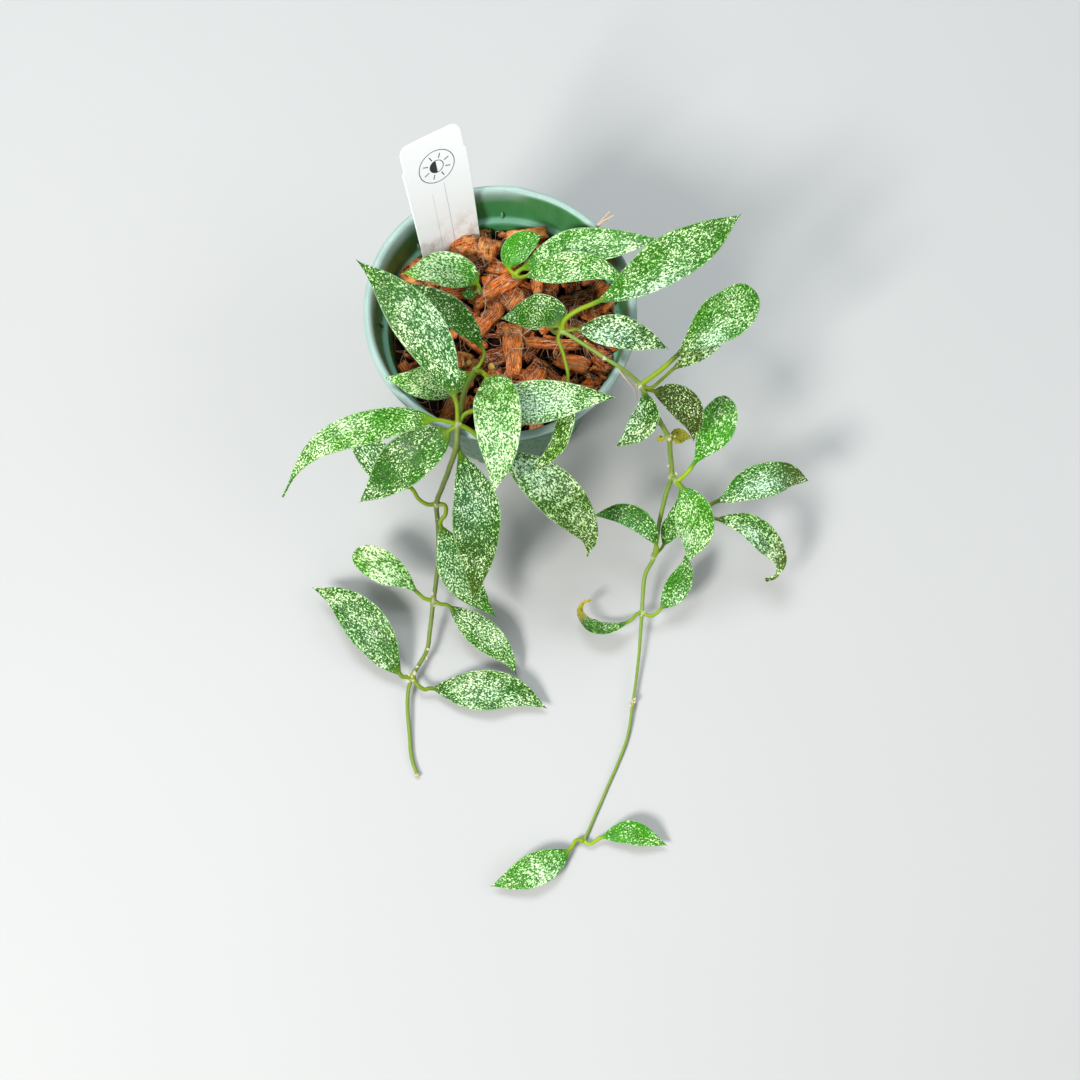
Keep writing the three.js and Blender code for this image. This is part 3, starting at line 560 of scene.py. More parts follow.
# %% [markdown]
# ## The pot
#
# A nursery pot is one thin wall turned about its axis: a flat foot, a tapering side, a collar that
# steps out to a ledge, and a rolled lip. Spinning a profile in Blender would do, but here the rings
# of the skin are the profile's points carried round, which also lets the rim go a little out of
# round, as the real one has. Eight drain notches at the foot are cut by small blocks.

# %% The pot's profile and its rings
POT_AROUND = 160
POT_HEIGHT, LEDGE_HEIGHT, COLLAR_RADIUS, BASE_RADIUS, WALL = 82.0, 64.4, 48.0, 37.0, 1.0
# each row is a radius and a height: up the outside, over the lip, and down the inside
POT_PROFILE = np.array([
    (0.4, 0.0), (20.0, 0.0), (35.4, 0.0), (36.6, 0.15), (37.0, 0.6), (38.2, 9.0), (40.8, 28.0),
    (43.6, 48.0), (45.7, 61.4), (46.2, 62.4), (47.3, 62.9), (48.0, 63.6), (48.6, 68.0), (49.4, 74.0),
    (49.9, 78.6), (50.4, 79.1), (51.4, 79.2), (52.1, 79.5), (52.4, 80.1), (52.4, 81.0), (52.1, 81.6),
    (51.4, 81.95), (50.6, 82.0), (49.9, 81.8), (49.4, 81.3), (49.1, 80.5), (48.9, 79.3), (48.3, 75.0),
    (47.7, 70.0), (47.2, 66.0), (46.9, 64.9), (46.4, 64.5), (45.6, 64.4), (45.1, 64.2), (44.8, 63.7),
    (44.5, 62.0), (42.6, 48.0), (39.8, 28.0), (36.8, 6.0), (36.2, 2.6), (35.2, 1.8), (18.0, 1.8),
    (0.4, 1.8)])
# where the rim bulges out or in: its direction, its spread in degrees, and by how much
RIM_FLAWS = ((135, 38, 1.2), (57, 24, -0.8), (-20, 8, 0.3), (84, 5, 0.25), (75, 4, -0.25))


def pot_rings():
    """The profile's radius and height carried round. Above the ledge the radius also grows by the
    flaws, each a bell exp(-(angle / spread)^2), and the lip's height waves a little."""
    turn = np.linspace(0, 2 * np.pi, POT_AROUND, endpoint=False)
    radius, height = POT_PROFILE[:, :1], POT_PROFILE[:, 1:]
    upper = np.clip((height - LEDGE_HEIGHT) / (POT_HEIGHT - LEDGE_HEIGHT), 0, 1) ** 1.5
    flaw = sum(size * np.exp(-(((np.degrees(turn) - at + 180) % 360 - 180) / spread) ** 2)
               for at, spread, size in RIM_FLAWS)
    r = radius + upper * flaw
    z = height + upper * (0.12 * np.sin(5 * turn + 1) + 0.08 * np.sin(13 * turn)) * (height > 70)
    z = np.minimum(z, POT_HEIGHT)
    return in_threes(r * np.cos(turn), r * np.sin(turn), z)


pot = piece("nursery_pot", [skin(pot_rings())], POT_PLASTIC)
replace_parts(pot, "pot")

# %% [markdown]
# The notches are cut by a Boolean, which subtracts one closed mesh from another. It is applied at
# once, so the finished pot is a plain mesh again, and the cutter is thrown away.

# %% Cut the drain notches
NOTCH_COUNT, NOTCH_WIDTH, NOTCH_HEIGHT, NOTCH_DEPTH = 8, 7.0, 5.0, 4.0
BELOW_FOOT = 2.0
POT_CREASE = 40


def block_rings(x, y, z, low):
    """A block as two square rings, one at each end of its height."""
    corners = np.array([(-1, -1), (1, -1), (1, 1), (-1, 1)]) * (x / 2, y / 2)
    return np.stack([np.column_stack([corners, np.full(4, h)]) for h in (low, low + z)])


def turned(rings, degrees):
    c, s = math.cos(math.radians(degrees)), math.sin(math.radians(degrees))
    return rings @ np.array([(c, s, 0), (-s, c, 0), (0, 0, 1)])


def apply_modifiers(made):
    """Replaces an object's mesh by what its modifiers make of it."""
    current = bpy.context.evaluated_depsgraph_get()
    mesh = bpy.data.meshes.new_from_object(
        made.evaluated_get(current), preserve_all_data_layers=True, depsgraph=current)
    made.modifiers.clear()
    made.data = mesh


notch = block_rings(NOTCH_DEPTH, NOTCH_WIDTH, NOTCH_HEIGHT + BELOW_FOOT, -BELOW_FOOT) + (BASE_RADIUS, 0, 0)
notches = [skin(turned(notch, 360 / NOTCH_COUNT * (k + 0.5))) for k in range(NOTCH_COUNT)]
cutter = piece("notch_cutter", notches, POT_PLASTIC)
cut = pot.modifiers.new("notches", "BOOLEAN")
cut.operation, cut.object, cut.solver = "DIFFERENCE", cutter, "EXACT"
apply_modifiers(pot)
bpy.data.objects.remove(cutter)
pot.data.set_sharp_from_angle(angle=math.radians(POT_CREASE))
print("pot faces after the notches:", len(pot.data.polygons))

# %% [markdown]
# The finish has to know the inner face, and the lip and the ledge's edge, on which it paints
# highlights. The cut mesh says so itself: an inner face's normal points towards the axis, and the
# other two show by their height and reach.

# %% Mark the inner face, the lip and the ledge
# the height and radius where the lip starts, and the height and spread of the ledge's painted highlight
LIP_FOOT, LIP_INNER, LEDGE_EDGE, LEDGE_SPREAD = 78.9, 48.6, 64.3, 0.75


def read_points(mesh, what):
    values = np.empty(3 * len(mesh.vertices))
    mesh.vertices.foreach_get(what, values)
    return values.reshape(-1, 3)


places, normals = read_points(pot.data, "co") / MM, read_points(pot.data, "normal")
reach, height = np.hypot(places[:, 0], places[:, 1]), places[:, 2]
inward = -(places[:, :2] * normals[:, :2]).sum(axis=1) / reach
inside = np.clip(inward * 3 + 0.5, 0, 1) * (height > 1)
inside[(height > 1.5) & (height < 2)] = 1
lip_highlight = np.clip((height - LIP_FOOT) / 0.5, 0, 1) * np.clip((reach - LIP_INNER) / 0.7, 0, 1)
ledge_highlight = np.exp(-((height - LEDGE_EDGE) / LEDGE_SPREAD) ** 2) * inside
mark_points(pot.data, "pot_look", np.stack([inside, lip_highlight, ledge_highlight], -1))

# %% [markdown]
# Inside the collar stand eight small upright ribs, on which the next pot rests when pots are
# stacked. Two or three of them catch the light in the photograph.

# %% The stacking ribs
RIB_COUNT, RIB_WIDTH, RIB_HEIGHT, RIB_PROUD = 8, 1.2, 5.0, 1.1


def rib_rings():
    """A narrow rib: its section is a rounded tongue, and it leans in a little more at its foot."""
    height = np.linspace(0, 1, 8)[:, None]
    turn = np.linspace(0, 2 * np.pi, 12, endpoint=False)
    full = np.clip(1 - (2 * height - 1) ** 6, 0.15, 1)
    inner = COLLAR_RADIUS - WALL + 0.25
    x = inner - RIB_PROUD * full * np.clip(np.cos(turn) * -0.5 + 0.5, 0, 1) * (1.15 - 0.3 * height)
    y = 0.5 * RIB_WIDTH * full * np.sin(turn)
    z = LEDGE_HEIGHT - 0.3 + RIB_HEIGHT * height
    return in_threes(x, y, z)


rib = rib_rings()
# each rib carries a little of the lip's and the ledge's painted highlight
rib_look = all_over((1.0, 0.25, 0.3), rib)
ribs = [skin(turned(rib, 360 / RIB_COUNT * k), pot_look=rib_look) for k in range(RIB_COUNT)]
piece("stacking_ribs", ribs, POT_PLASTIC)

# %% [markdown]
# ## The bark mix
#
# The mix is a mound of chips that fills the pot. The solid model draws its larger chips at random
# with a fixed seed. The same draws are repeated here, so that each chip lies where its solid lies,
# but it is made again as a bark chip: ridged along its grain, ragged at its ends, slightly bowed.

# %% The bed under the chips
BARK_TOP, BACK_RISE, EDGE_FALL, BARK_RADIUS = 56.0, 4.5, 2.2, 43.4
# how far the bed's own top lies below the mound's, how lumpy it is, and its points around
BED_SINK, BED_LUMPS, BED_AROUND = 2.4, 0.9, 140
# the pot's inside: heights and the radius that the bark may fill there
ROOM_HEIGHTS, ROOM_RADII = (1.8, 63.8, 64.6, 82.0), (35.6, 44.1, 46.4, 46.4)
rng = np.random.default_rng(41)


def bark_top(x, y):
    """The mound: level, rising towards the back by a soft step and falling to the wall."""
    s = np.clip((y + 20) / 55, 0, 1)
    return BARK_TOP + BACK_RISE * s * s * (3 - 2 * s) - EDGE_FALL * (np.hypot(x, y) / BARK_RADIUS) ** 2


def painted_gap_shade(places):
    """Painted shade between the chips: from 0 at the top of the chips to 1 a few millimetres lower."""
    return np.clip((bark_top(places[..., 0], places[..., 1]) + 2.0 - places[..., 2]) / 3.2, 0, 1)


def in_pot(places):
    """Draws what would stick through the pot's wall back to it."""
    reach = np.hypot(places[..., 0], places[..., 1])
    room = np.interp(places[..., 2], ROOM_HEIGHTS, ROOM_RADII)
    share = np.minimum(1, room / np.maximum(reach, 1e-6))
    return places * np.stack([share, share, np.ones_like(share)], -1)


def lumps(x, y, count=26, finest=1.1):
    """A bumpy height field: a sum of plane waves of random direction, phase and length."""
    total = 0 * x
    for _ in range(count):
        heading, phase = rng.uniform(0, 2 * np.pi, 2)
        length = rng.uniform(3 * finest, 14)
        total = total + np.sin((x * np.cos(heading) + y * np.sin(heading)) * 2 * np.pi / length + phase)
    return total / math.sqrt(count)


def bed_rings():
    """Rings from the middle of the underside, up the wall, and in over the lumpy top."""
    turn = np.linspace(0, 2 * np.pi, BED_AROUND, endpoint=False)
    outer = [(8, 2.2), (24, 2.2), (35.5, 2.3), (36.9, 12), (39.4, 30), (41.5, 44), (42.9, 52.4)]
    inner = [(r, None) for r in np.linspace(43.3, 0.5, 44)]
    rings = []
    for radius, height in outer + inner:
        x, y = radius * np.cos(turn), radius * np.sin(turn)
        z = np.full_like(turn, height) if height else bark_top(x, y) - BED_SINK
        rings.append(np.stack([x, y, z], -1))
    rings = np.array(rings)
    top = slice(len(outer), None)
    rings[top, :, 2] += BED_LUMPS * lumps(rings[top, :, 0], rings[top, :, 1])
    grain = rings * (0.8, 1.0, 1.0) + 90.0
    # the bed is dark all over: painted shade in the gaps between the chips
    return rings, grain, in_threes(0.12, 0.3, painted_gap_shade(rings))


bed, bed_grain, bed_look = bed_rings()
bed_body = skin(bed, grain_mm=bed_grain, chip_look=bed_look)

# %% [markdown]
# A chip is a tube with a nearly square section, so it reuses the closed skin. Its section is a
# superellipse: |x/a|^n + |y/b|^n = 1, where n of 2 gives an ellipse and a large n a rectangle.

# %% One bark chip
CHIP_RINGS, CHIP_AROUND, SQUARENESS = 11, 24, 5.0


def chip_skin(place, size, heading, tip, light, tan=0.6):
    """A chip along X, then tipped about X and Y, turned about Z and set in its place.

    Its half width and half thickness follow the superellipse, times ridges that run the chip's
    whole length (a sum of sines of the angle), times a slow swell. The end rings are torn: each
    point is shifted along the grain by its own share of the raggedness, and drawn in.
    """
    length, width, thick = size
    t = np.linspace(-1, 1, CHIP_RINGS)[:, None]
    turn = np.linspace(0, 2 * np.pi, CHIP_AROUND, endpoint=False) + 0.13
    c, s = np.cos(turn), np.sin(turn)
    across = np.sign(c) * np.abs(c) ** (2 / SQUARENESS)
    up = np.sign(s) * np.abs(s) ** (2 / SQUARENESS)
    ridges = 1 + sum(rng.uniform(0.01, 0.05) * np.sin(k * turn + rng.uniform(0, 6.3)) for k in (3, 5, 8, 11))
    swell = 1 + 0.10 * np.sin(2.2 * t + rng.uniform(0, 6.3)) + 0.05 * np.sin(6 * t + turn * 2)
    wedge = 1 + rng.uniform(-0.18, 0.18) * t
    torn = rng.normal(0, 0.035, (2, CHIP_AROUND)) * length
    x = t * length / 2 + np.where(t < 0, torn[0], torn[1]) * np.abs(t) ** 5
    ends = 1 - 0.22 * np.abs(t) ** 9
    y = width / 2 * across * ridges * swell * wedge * ends + rng.uniform(-0.6, 0.6) * (1 - t**2)
    z = thick / 2 * up * ridges * (2 - swell) * ends + rng.uniform(-0.5, 0.7) * (1 - t**2)
    rings = in_threes(x, y, z)
    grain = rings + rng.uniform(-400, 400, 3)
    a, b = math.radians(tip * 0.6), math.radians(tip)
    about_x = np.array([(1, 0, 0), (0, math.cos(a), math.sin(a)), (0, -math.sin(a), math.cos(a))])
    about_y = np.array([(math.cos(b), 0, -math.sin(b)), (0, 1, 0), (math.sin(b), 0, math.cos(b))])
    placed = in_pot(turned(rings @ about_x @ about_y, heading) + np.array(place, float))
    return skin(placed, grain_mm=grain, chip_look=in_threes(light, tan, painted_gap_shade(placed)))


# %% [markdown]
# The chips that show most are listed one by one, each by its middle, its size, its heading and its
# tip, with how light and how tan it is. The others lie on a spiral whose steps turn by the golden
# angle, which spreads points evenly over a disc.

# %% The chips that show most
SHOWN_CHIPS = [
    ((-2, 16.5, 63.5), (22, 6.5, 3.4), 34, -4, 0.85, 0.15),
    ((10, 39.5, 65), (15.5, 4.2, 3.2), 7, 3, 1.0, 0.9),
    ((-15, 33.5, 64.5), (11, 9, 6), 20, 0, 0.8, 0.8),
    ((-5.5, 33, 64), (9, 9, 5.5), 80, 8, 0.6, 0.8),
    ((4.5, -10.5, 61), (17, 7, 4), 92, 4, 0.9, 0.3),
    ((20, -5.5, 61.5), (21, 3.6, 3), -3, 2, 0.8, 0.3),
    ((4, 13, 62), (9, 9, 4), 50, -8, 0.55, 0.3),
    ((-33, 20, 62.8), (15, 5, 3.2), -24, 2, 0.75, 1.0),
    ((-36.5, 25.5, 63.2), (12, 5, 3), 30, 4, 0.7, 0.9),
    ((42, 7.5, 61), (13, 6, 3.4), 12, 4, 0.7, 0.4),
    ((30, 12, 61.5), (15, 6, 4), 10, -6, 0.25, 0.2),
    ((-29, 27, 64), (8, 5, 4), 60, 10, 0.7, 0.4),
    ((-26, 24, 64), (9, 4, 4), -40, -8, 0.4, 0.5),
    ((13, -21, 60), (12, 6, 4), 60, 10, 0.9, 0.2),
]
STREWN, CHIP_LENGTH, CHIP_WIDTH, CHIP_THICK = 50, (10, 19), (4, 8), (2.4, 4.4)
MOST_TIPPED, MOST_RAISED, CORNER_DRAWS = 32, 2.5, 24
GOLDEN_ANGLE = math.pi * (3 - math.sqrt(5))


def solid_model_draws(seed):
    """The solid model's own draws between 0 and 1: state = (a * state + c) modulo m."""
    state = float(seed)
    while True:
        state = math.fmod(state * 1103515245.0 + 12345.0, 2147483648.0)
        yield state / 2147483648.0


def round_place(reach, turn):
    return reach * math.cos(turn), reach * math.sin(turn)


def strewn_chips():
    """Places, sizes, headings and tips, in the order in which the solid model draws them. The solid
    model also draws every chip's corners, and those draws are passed over."""
    draws = solid_model_draws(7)
    for _ in range(len(SHOWN_CHIPS) * CORNER_DRAWS):
        next(draws)
    for i in range(STREWN):
        reach, turn = (BARK_RADIUS - 1.4) * math.sqrt((i + 0.5) / STREWN), i * GOLDEN_ANGLE
        size = [low + (high - low) * next(draws) for low, high in (CHIP_LENGTH, CHIP_WIDTH, CHIP_THICK)]
        x, y = round_place(reach, turn)
        heading = 360 * next(draws)
        tip = MOST_TIPPED * (2 * next(draws) - 1)
        z = float(bark_top(x, y)) + MOST_RAISED * next(draws)
        for _ in range(CORNER_DRAWS):
            next(draws)
        yield (x, y, z), size, heading, tip


chips = [chip_skin(*row) for row in SHOWN_CHIPS]
chips += [chip_skin(*row, light=rng.beta(0.9, 0.6), tan=rng.beta(0.4, 0.9)) for row in strewn_chips()]

# %% [markdown]
# Smaller chips and splinters fill the gaps between these, as they do in a bag of fine bark.

# %% Small chips and splinters
SMALL_CHIPS, SMALL_SIZES = 100, ((3.5, 10), (1.2, 4), (0.8, 2.4))


def fine_chip(place, sizes, headings, tips):
    """A chip whose length, width, thickness, heading and tip are drawn from their ranges."""
    size = [rng.uniform(*span) for span in sizes]
    return chip_skin(place, size, rng.uniform(*headings), rng.uniform(*tips),
                     light=rng.beta(0.8, 0.6), tan=rng.beta(0.5, 0.9))


for _ in range(SMALL_CHIPS):
    reach, turn = (BARK_RADIUS - 0.5) * math.sqrt(rng.uniform()), rng.uniform(0, 2 * math.pi)
    x, y = round_place(reach, turn)
    place = (x, y, float(bark_top(x, y)) + rng.uniform(-0.6, 4.4))
    chips.append(fine_chip(place, SMALL_SIZES, (0, 360), (-35, 35)))

# on the right some lie with one end on the pot's ledge and the other down in the mix
LEDGE_CHIPS, LEDGE_SIZES, LEDGE_FROM, LEDGE_SPAN = 34, ((7, 11), (2.4, 4.6), (1, 2.2)), -52, 92
for i in range(LEDGE_CHIPS):
    at, reach = LEDGE_FROM + LEDGE_SPAN * (i + rng.uniform()) / LEDGE_CHIPS, rng.uniform(41.5, 43.5)
    place = (*round_place(reach, math.radians(at)), rng.uniform(61.8, 63.4))
    chips.append(fine_chip(place, LEDGE_SIZES, (at - 35, at + 35), (-42, -22)))

bark = piece("bark_chips", [bed_body, *chips], BARK)
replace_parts(bark, "bark_mix")

# %% [markdown]
# ## Fibres and fertiliser prills
#
# Between the chips lie coir fibres and torn strands of bark, thin as thread, and a few round yellow
# prills of slow fertiliser. Each strand is draped: a ray goes straight down from points along it
# onto the bark, and the strand lies on what the rays hit, smoothed, so that it bridges gaps.

# %% Something to ask how high the bark is
from mathutils import Vector
from mathutils.bvhtree import BVHTree

RAY_HEIGHT = 90.0
ground = BVHTree.FromPolygons([v.co for v in bark.data.vertices], [f.vertices for f in bark.data.polygons])


def height_at(x, y):
    """The bark's height under a place, or the mound's where the ray meets nothing."""
    hit = ground.ray_cast(Vector((x * MM, y * MM, RAY_HEIGHT * MM)), Vector((0, 0, -1)))[0]
    return hit.z / MM if hit else float(bark_top(x, y))


# %% The strands
STRANDS, STRAND_POINTS, STRAND_RINGS, STRAND_AROUND = 460, 5, 9, 4


def tube_rings(places, directions, radii, around):
    """Rings of `around` points about a path: centre + r (side cos a + up sin a).

    `side` is the direction crossed with one fixed slanting line, so that rings don't twist.
    """
    side = unit(np.cross(directions, unit(np.array([0.21, 0.13, 0.97]) + 0 * directions)))
    up = np.cross(side, directions)
    turn = np.linspace(0, 2 * np.pi, around, endpoint=False)
    spoke = side[:, None] * np.cos(turn)[:, None] + up[:, None] * np.sin(turn)[:, None]
    return places[:, None] + np.reshape(radii, (-1, 1, 1)) * spoke


def strand(start, heading, length, lift, curl, radius, light, red):
    """A thread whose heading turns evenly by `curl` over its length. It lies on the bark, and its
    middle rises by `lift`."""
    t = np.linspace(0, 1, STRAND_POINTS)
    turn = heading + curl * (t - 0.5) + rng.normal(0, 0.25, STRAND_POINTS)
    step = length / (STRAND_POINTS - 1)
    x = start[0] + np.concatenate([[0], np.cumsum(np.cos(turn[:-1]) * step)])
    y = start[1] + np.concatenate([[0], np.cumsum(np.sin(turn[:-1]) * step)])
    z = np.array([height_at(a, b) for a, b in zip(x, y)])
    z = np.convolve(np.pad(z, 1, "edge"), (0.25, 0.5, 0.25), "valid") + radius + lift * np.sin(np.pi * t)
    path = smooth_path(in_pot(np.stack([x, y, z], -1)))
    places, directions = along(path, np.linspace(0, path_length(path), STRAND_RINGS))
    taper = radius * (0.35 + 0.65 * np.sin(np.pi * np.linspace(0.12, 0.95, STRAND_RINGS)))
    rings = tube_rings(places, directions, taper, STRAND_AROUND)
    return skin(rings, fibre_look=all_over((light, red, 0.0), rings))


strands = []
for _ in range(STRANDS):
    reach, turn = (BARK_RADIUS - 1) * math.sqrt(rng.uniform()), rng.uniform(0, 2 * math.pi)
    strands.append(strand(
        round_place(reach, turn), heading=rng.uniform(0, 2 * math.pi), length=rng.uniform(4, 17),
        lift=rng.uniform(0, 1.6), curl=rng.uniform(-2.4, 2.4), radius=rng.uniform(0.08, 0.2),
        light=rng.beta(1.1, 1.0), red=rng.uniform(0, 0.9) * (rng.uniform() < 0.5)))
piece("bark_fibres", strands, FIBRE)

# %% The prills
# each is a place on the bark and a radius
PRILLS = [(-13, -12.5, 1.25), (-4, -15, 1.5), (-9.5, -17.5, 0.9), (-11.5, 25, 1.3), (-9.5, 23.2, 0.9),
          (26, -15.5, 1.1), (-30, -8, 1.1), (17, 28, 1.0), (33, -4, 0.9), (-20, -3, 1.0), (12, -27, 1.1)]


def ball_rings(centre, radius, rings=9, around=14, rough=0.05):
    """A ball as rings from pole to pole, its radius uneven by a little."""
    lat = np.linspace(-np.pi / 2 + 0.2, np.pi / 2 - 0.2, rings)[:, None]
    lon = np.linspace(0, 2 * np.pi, around, endpoint=False)
    r = radius * (1 + rough * np.sin(3 * lon + 2 * lat + centre[0]) + rough * np.sin(2 * lon + centre[1]))
    ball = in_threes(r * np.cos(lat) * np.cos(lon), r * np.cos(lat) * np.sin(lon), r * np.sin(lat))
    return ball + np.array(centre, float)


prills = [skin(ball_rings((x, y, height_at(x, y) + 0.55 * r), r)) for x, y, r in PRILLS]
piece("fertiliser_prills", prills, PRILL)

# %% [markdown]
# ## The plant label
#
# A label is punched out of sheet: a slightly narrower head with round corners, shoulders, straight
# sides that taper, and a point in the bark. Here it is a skin along its length, whose rings are
# thin rectangles as wide as the outline is there.

# %% The label
LABEL_LENGTH, HEAD_WIDTH, HEAD_LENGTH, SHOULDER_WIDTH, LOW_WIDTH = 108.0, 25.5, 12.0, 27.2, 24.4
LABEL_THICK, CORNER_RADIUS, POINT_LENGTH = 0.9, 4.0, 16.0
# the margin is thinned to this share of the sheet, over this depth at the top
EDGE_THIN, EDGE_DEPTH = 0.45, 0.12
LABEL_CREASE = 50
LABEL_FOOT, LABEL_SHOWING = np.array([-20, 33.4, 62.0]), 62.5
LEAN_BACK, LEAN_ASIDE, LABEL_TURN = (math.radians(v) for v in (17.5, -5.4, 32))


def label_half_width(down):
    """A quarter circle at the corners, straight steps at the shoulders, a taper, then the point."""
    corner = np.clip(CORNER_RADIUS - down, 0, CORNER_RADIUS)
    head = HEAD_WIDTH / 2 - CORNER_RADIUS + np.sqrt(CORNER_RADIUS**2 - corner**2)
    bevel = LABEL_LENGTH - POINT_LENGTH
    body = np.interp(down, [HEAD_LENGTH, bevel, LABEL_LENGTH], [SHOULDER_WIDTH / 2, LOW_WIDTH / 2, 2.0])
    return np.where(down < HEAD_LENGTH - 0.1, head, body)


def label_rings():
    """For each length, points over the width, on the front and then back along the rear. The sheet
    is bowed a little: a parabola across, and one along."""
    corner = CORNER_RADIUS * (1 - np.cos(np.linspace(0, np.pi / 2, 9)))
    body = np.linspace(15, LABEL_LENGTH - POINT_LENGTH, 24)
    down = np.concatenate([[0.0, EDGE_DEPTH], corner[1:], [8, HEAD_LENGTH - 0.8, HEAD_LENGTH],
                           body, [97, 102, LABEL_LENGTH]])[:, None]
    share = np.array([-1, -0.985, -0.8, -0.5, -0.2, 0.2, 0.5, 0.8, 0.985, 1])
    across = np.concatenate([share, share[::-1]])
    edge = np.where(np.abs(across) == 1, EDGE_THIN, 1.0)
    side = np.repeat([1, -1], len(share))
    rim = np.clip(down / EDGE_DEPTH, EDGE_THIN, 1)
    x = label_half_width(down) * across
    bow = 0.004 * (x**2 - 40) * 0.35 + 0.9 * np.sin(np.pi * np.clip(down / LABEL_SHOWING, 0, 1))
    out = side * LABEL_THICK / 2 * edge * rim + bow * (down < LABEL_SHOWING)
    flat = in_threes(x, -down, out)
    mark = in_threes(x, -down, 0.5 + 0.5 * side * edge)
    up = np.array([math.sin(LEAN_ASIDE), math.sin(LEAN_BACK) * math.cos(LEAN_ASIDE),
                   math.cos(LEAN_BACK) * math.cos(LEAN_ASIDE)])
    level = np.array([math.cos(LABEL_TURN), math.sin(LABEL_TURN), 0])
    level = unit(level - level.dot(up) * up)
    basis = np.stack([level, up, np.cross(level, up)])
    return flat @ basis + LABEL_FOOT + up * LABEL_SHOWING, mark


label_places, label_mark = label_rings()
label = piece("plant_label_plate", [skin(label_places, label_mm=label_mark)], LABEL_PLASTIC)
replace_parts(label, "plant_label")
label.data.set_sharp_from_angle(angle=math.radians(LABEL_CREASE))

# %% [markdown]
# ## The vines' routes
#
# Each vine is a few joints, where its leaves sit in pairs, and a route through them. All are in
# millimetres. The left vine climbs from the bark, crosses the rim at its first joint and drops to
# the bench. The right vine crosses at its second, has a short side shoot, and trails far forward.

# %% Joints and routes
LEFT = {
    "crown": (-10, -19, 66), "first": (-15.5, -48, 87), "second": (-25.5, -67.5, 48),
    "third": (-28.5, -98.5, 12.5), "fourth": (-37, -128.5, 5),
}
LEFT_ROUTE = [
    (-9.5, -8, 48), LEFT["crown"], (-13, -28.5, 75), (-14.5, -39.5, 83), LEFT["first"], (-16, -55, 84),
    (-19, -60, 73), (-22.5, -64, 60), LEFT["second"], (-25.5, -74.5, 35), (-26, -84.5, 24),
    (-27.5, -93, 16), LEFT["third"], (-30, -110, 8), (-31.5, -118.5, 6), LEFT["fourth"],
    (-39, -138, 3.5), (-38, -152, 1.7), (-37, -161, 1.2), (-34.5, -168.5, 1.1),
]
RIGHT = {
    "first": (23.5, -10.5, 86), "second": (53, -30.5, 82), "bare": (65, -43.5, 59),
    "third": (67.5, -54, 42), "fourth": (61.5, -81.5, 19), "fifth": (57, -102.5, 7.5),
    "sixth": (53, -139, 2.5), "last": (32.5, -194.5, 1.8),
}
RIGHT_ROUTE = [
    (16.5, 14, 46), (18.5, 3, 62), (21, -7.5, 78), RIGHT["first"], (30, -15, 87), (39.5, -22, 88),
    (46, -26, 87), RIGHT["second"], (58.5, -37, 72), RIGHT["bare"], (66.5, -48, 50), RIGHT["third"],
    (65.5, -60.5, 34), (63.5, -69, 27), RIGHT["fourth"], (58, -89, 13), RIGHT["fifth"],
    (55.5, -121.5, 4), RIGHT["sixth"], (50, -155, 1.4), (41.5, -175, 1), (34.5, -190.5, 1.4),
    RIGHT["last"],
]
SIDE = {"fork": (69.5, -57, 43), "end": (81, -67, 37)}
SIDE_ROUTE = [RIGHT["third"], SIDE["fork"], (75, -61.5, 40), SIDE["end"]]
BACK_ROUTE = [(5.5, 28, 46), (6, 23.5, 59), (5.5, 20.5, 68)]
SMALL_ROUTE = [(-9.5, 22, 46), (-9, 14.5, 66)]
BACK_TOP, SMALL_TOP = BACK_ROUTE[-1], SMALL_ROUTE[-1]
for name, route in (("left vine", LEFT_ROUTE), ("right vine", RIGHT_ROUTE)):
    print(f"the {name}'s stem is {path_length(smooth_path(route)):.0f} mm long")

# %% [markdown]
# ## Stems
#
# A stem is a tube whose radius changes along it. It swells at each joint, where an old leaf scar or
# a pale corky nub sits, and it goes from hard and olive-brown to soft and yellow-green. The radii
# are given at a few places, and everything between is read off straight lines between them.

# %% One stem
STEM_AROUND, STEM_STEP, JOINT_SWELL, JOINT_SPREAD = 14, 0.8, 0.5, 1.3


def stem_skin(route, radii, ages, joints=(), withered=0.0):
    """A tube along the smooth route.

    Radius = radius read off at this length x (1 + swell x the sum of bells exp(-((l - joint) /
    spread)^2) at the joints) x a slight unevenness, a sine along and about it. `radii` and `ages`
    are values at evenly spread shares of the length.
    """
    path = smooth_path(route)
    whole = path_length(path)
    lengths = np.linspace(0, whole, int(whole / STEM_STEP))
    places, directions = along(path, lengths)
    share = lengths / whole
    bells = sum((np.exp(-((lengths - length_at(path, j)) / JOINT_SPREAD) ** 2) for j in joints),
                np.zeros_like(lengths))
    radius = np.interp(share, np.linspace(0, 1, len(radii)), radii)
    radius = radius * (1 + JOINT_SWELL * bells)
    rings = tube_rings(places, directions, radius, STEM_AROUND)
    turn = np.linspace(0, 2 * np.pi, STEM_AROUND, endpoint=False)
    run = lengths[:, None]
    uneven = 1 + 0.04 * np.sin(3 * turn + run * 0.5) + 0.03 * np.sin(run * 1.7)
    rings = places[:, None] + (rings - places[:, None]) * uneven[..., None]
    age = np.interp(share, np.linspace(0, 1, len(ages)), ages)
    mark = in_threes(run, 3 * np.cos(turn), 3 * np.sin(turn))
    look = in_threes(age[:, None], 0.35 * bells[:, None], withered + 0 * turn)
    return skin(rings, stem_mm=mark, stem_look=look)


# %% [markdown]
# The nubs at the joints are what is left of old leaves and flower stalks: small uneven balls, pale
# and corky, pushed half into the stem.

# %% Nubs
def nub(centre, radius, pale=0.9, age=0.4):
    rings = ball_rings(centre, radius, 7, 10, 0.12)
    return skin(rings, stem_mm=rings + 50.0, stem_look=all_over((age, pale, 0.0), rings))


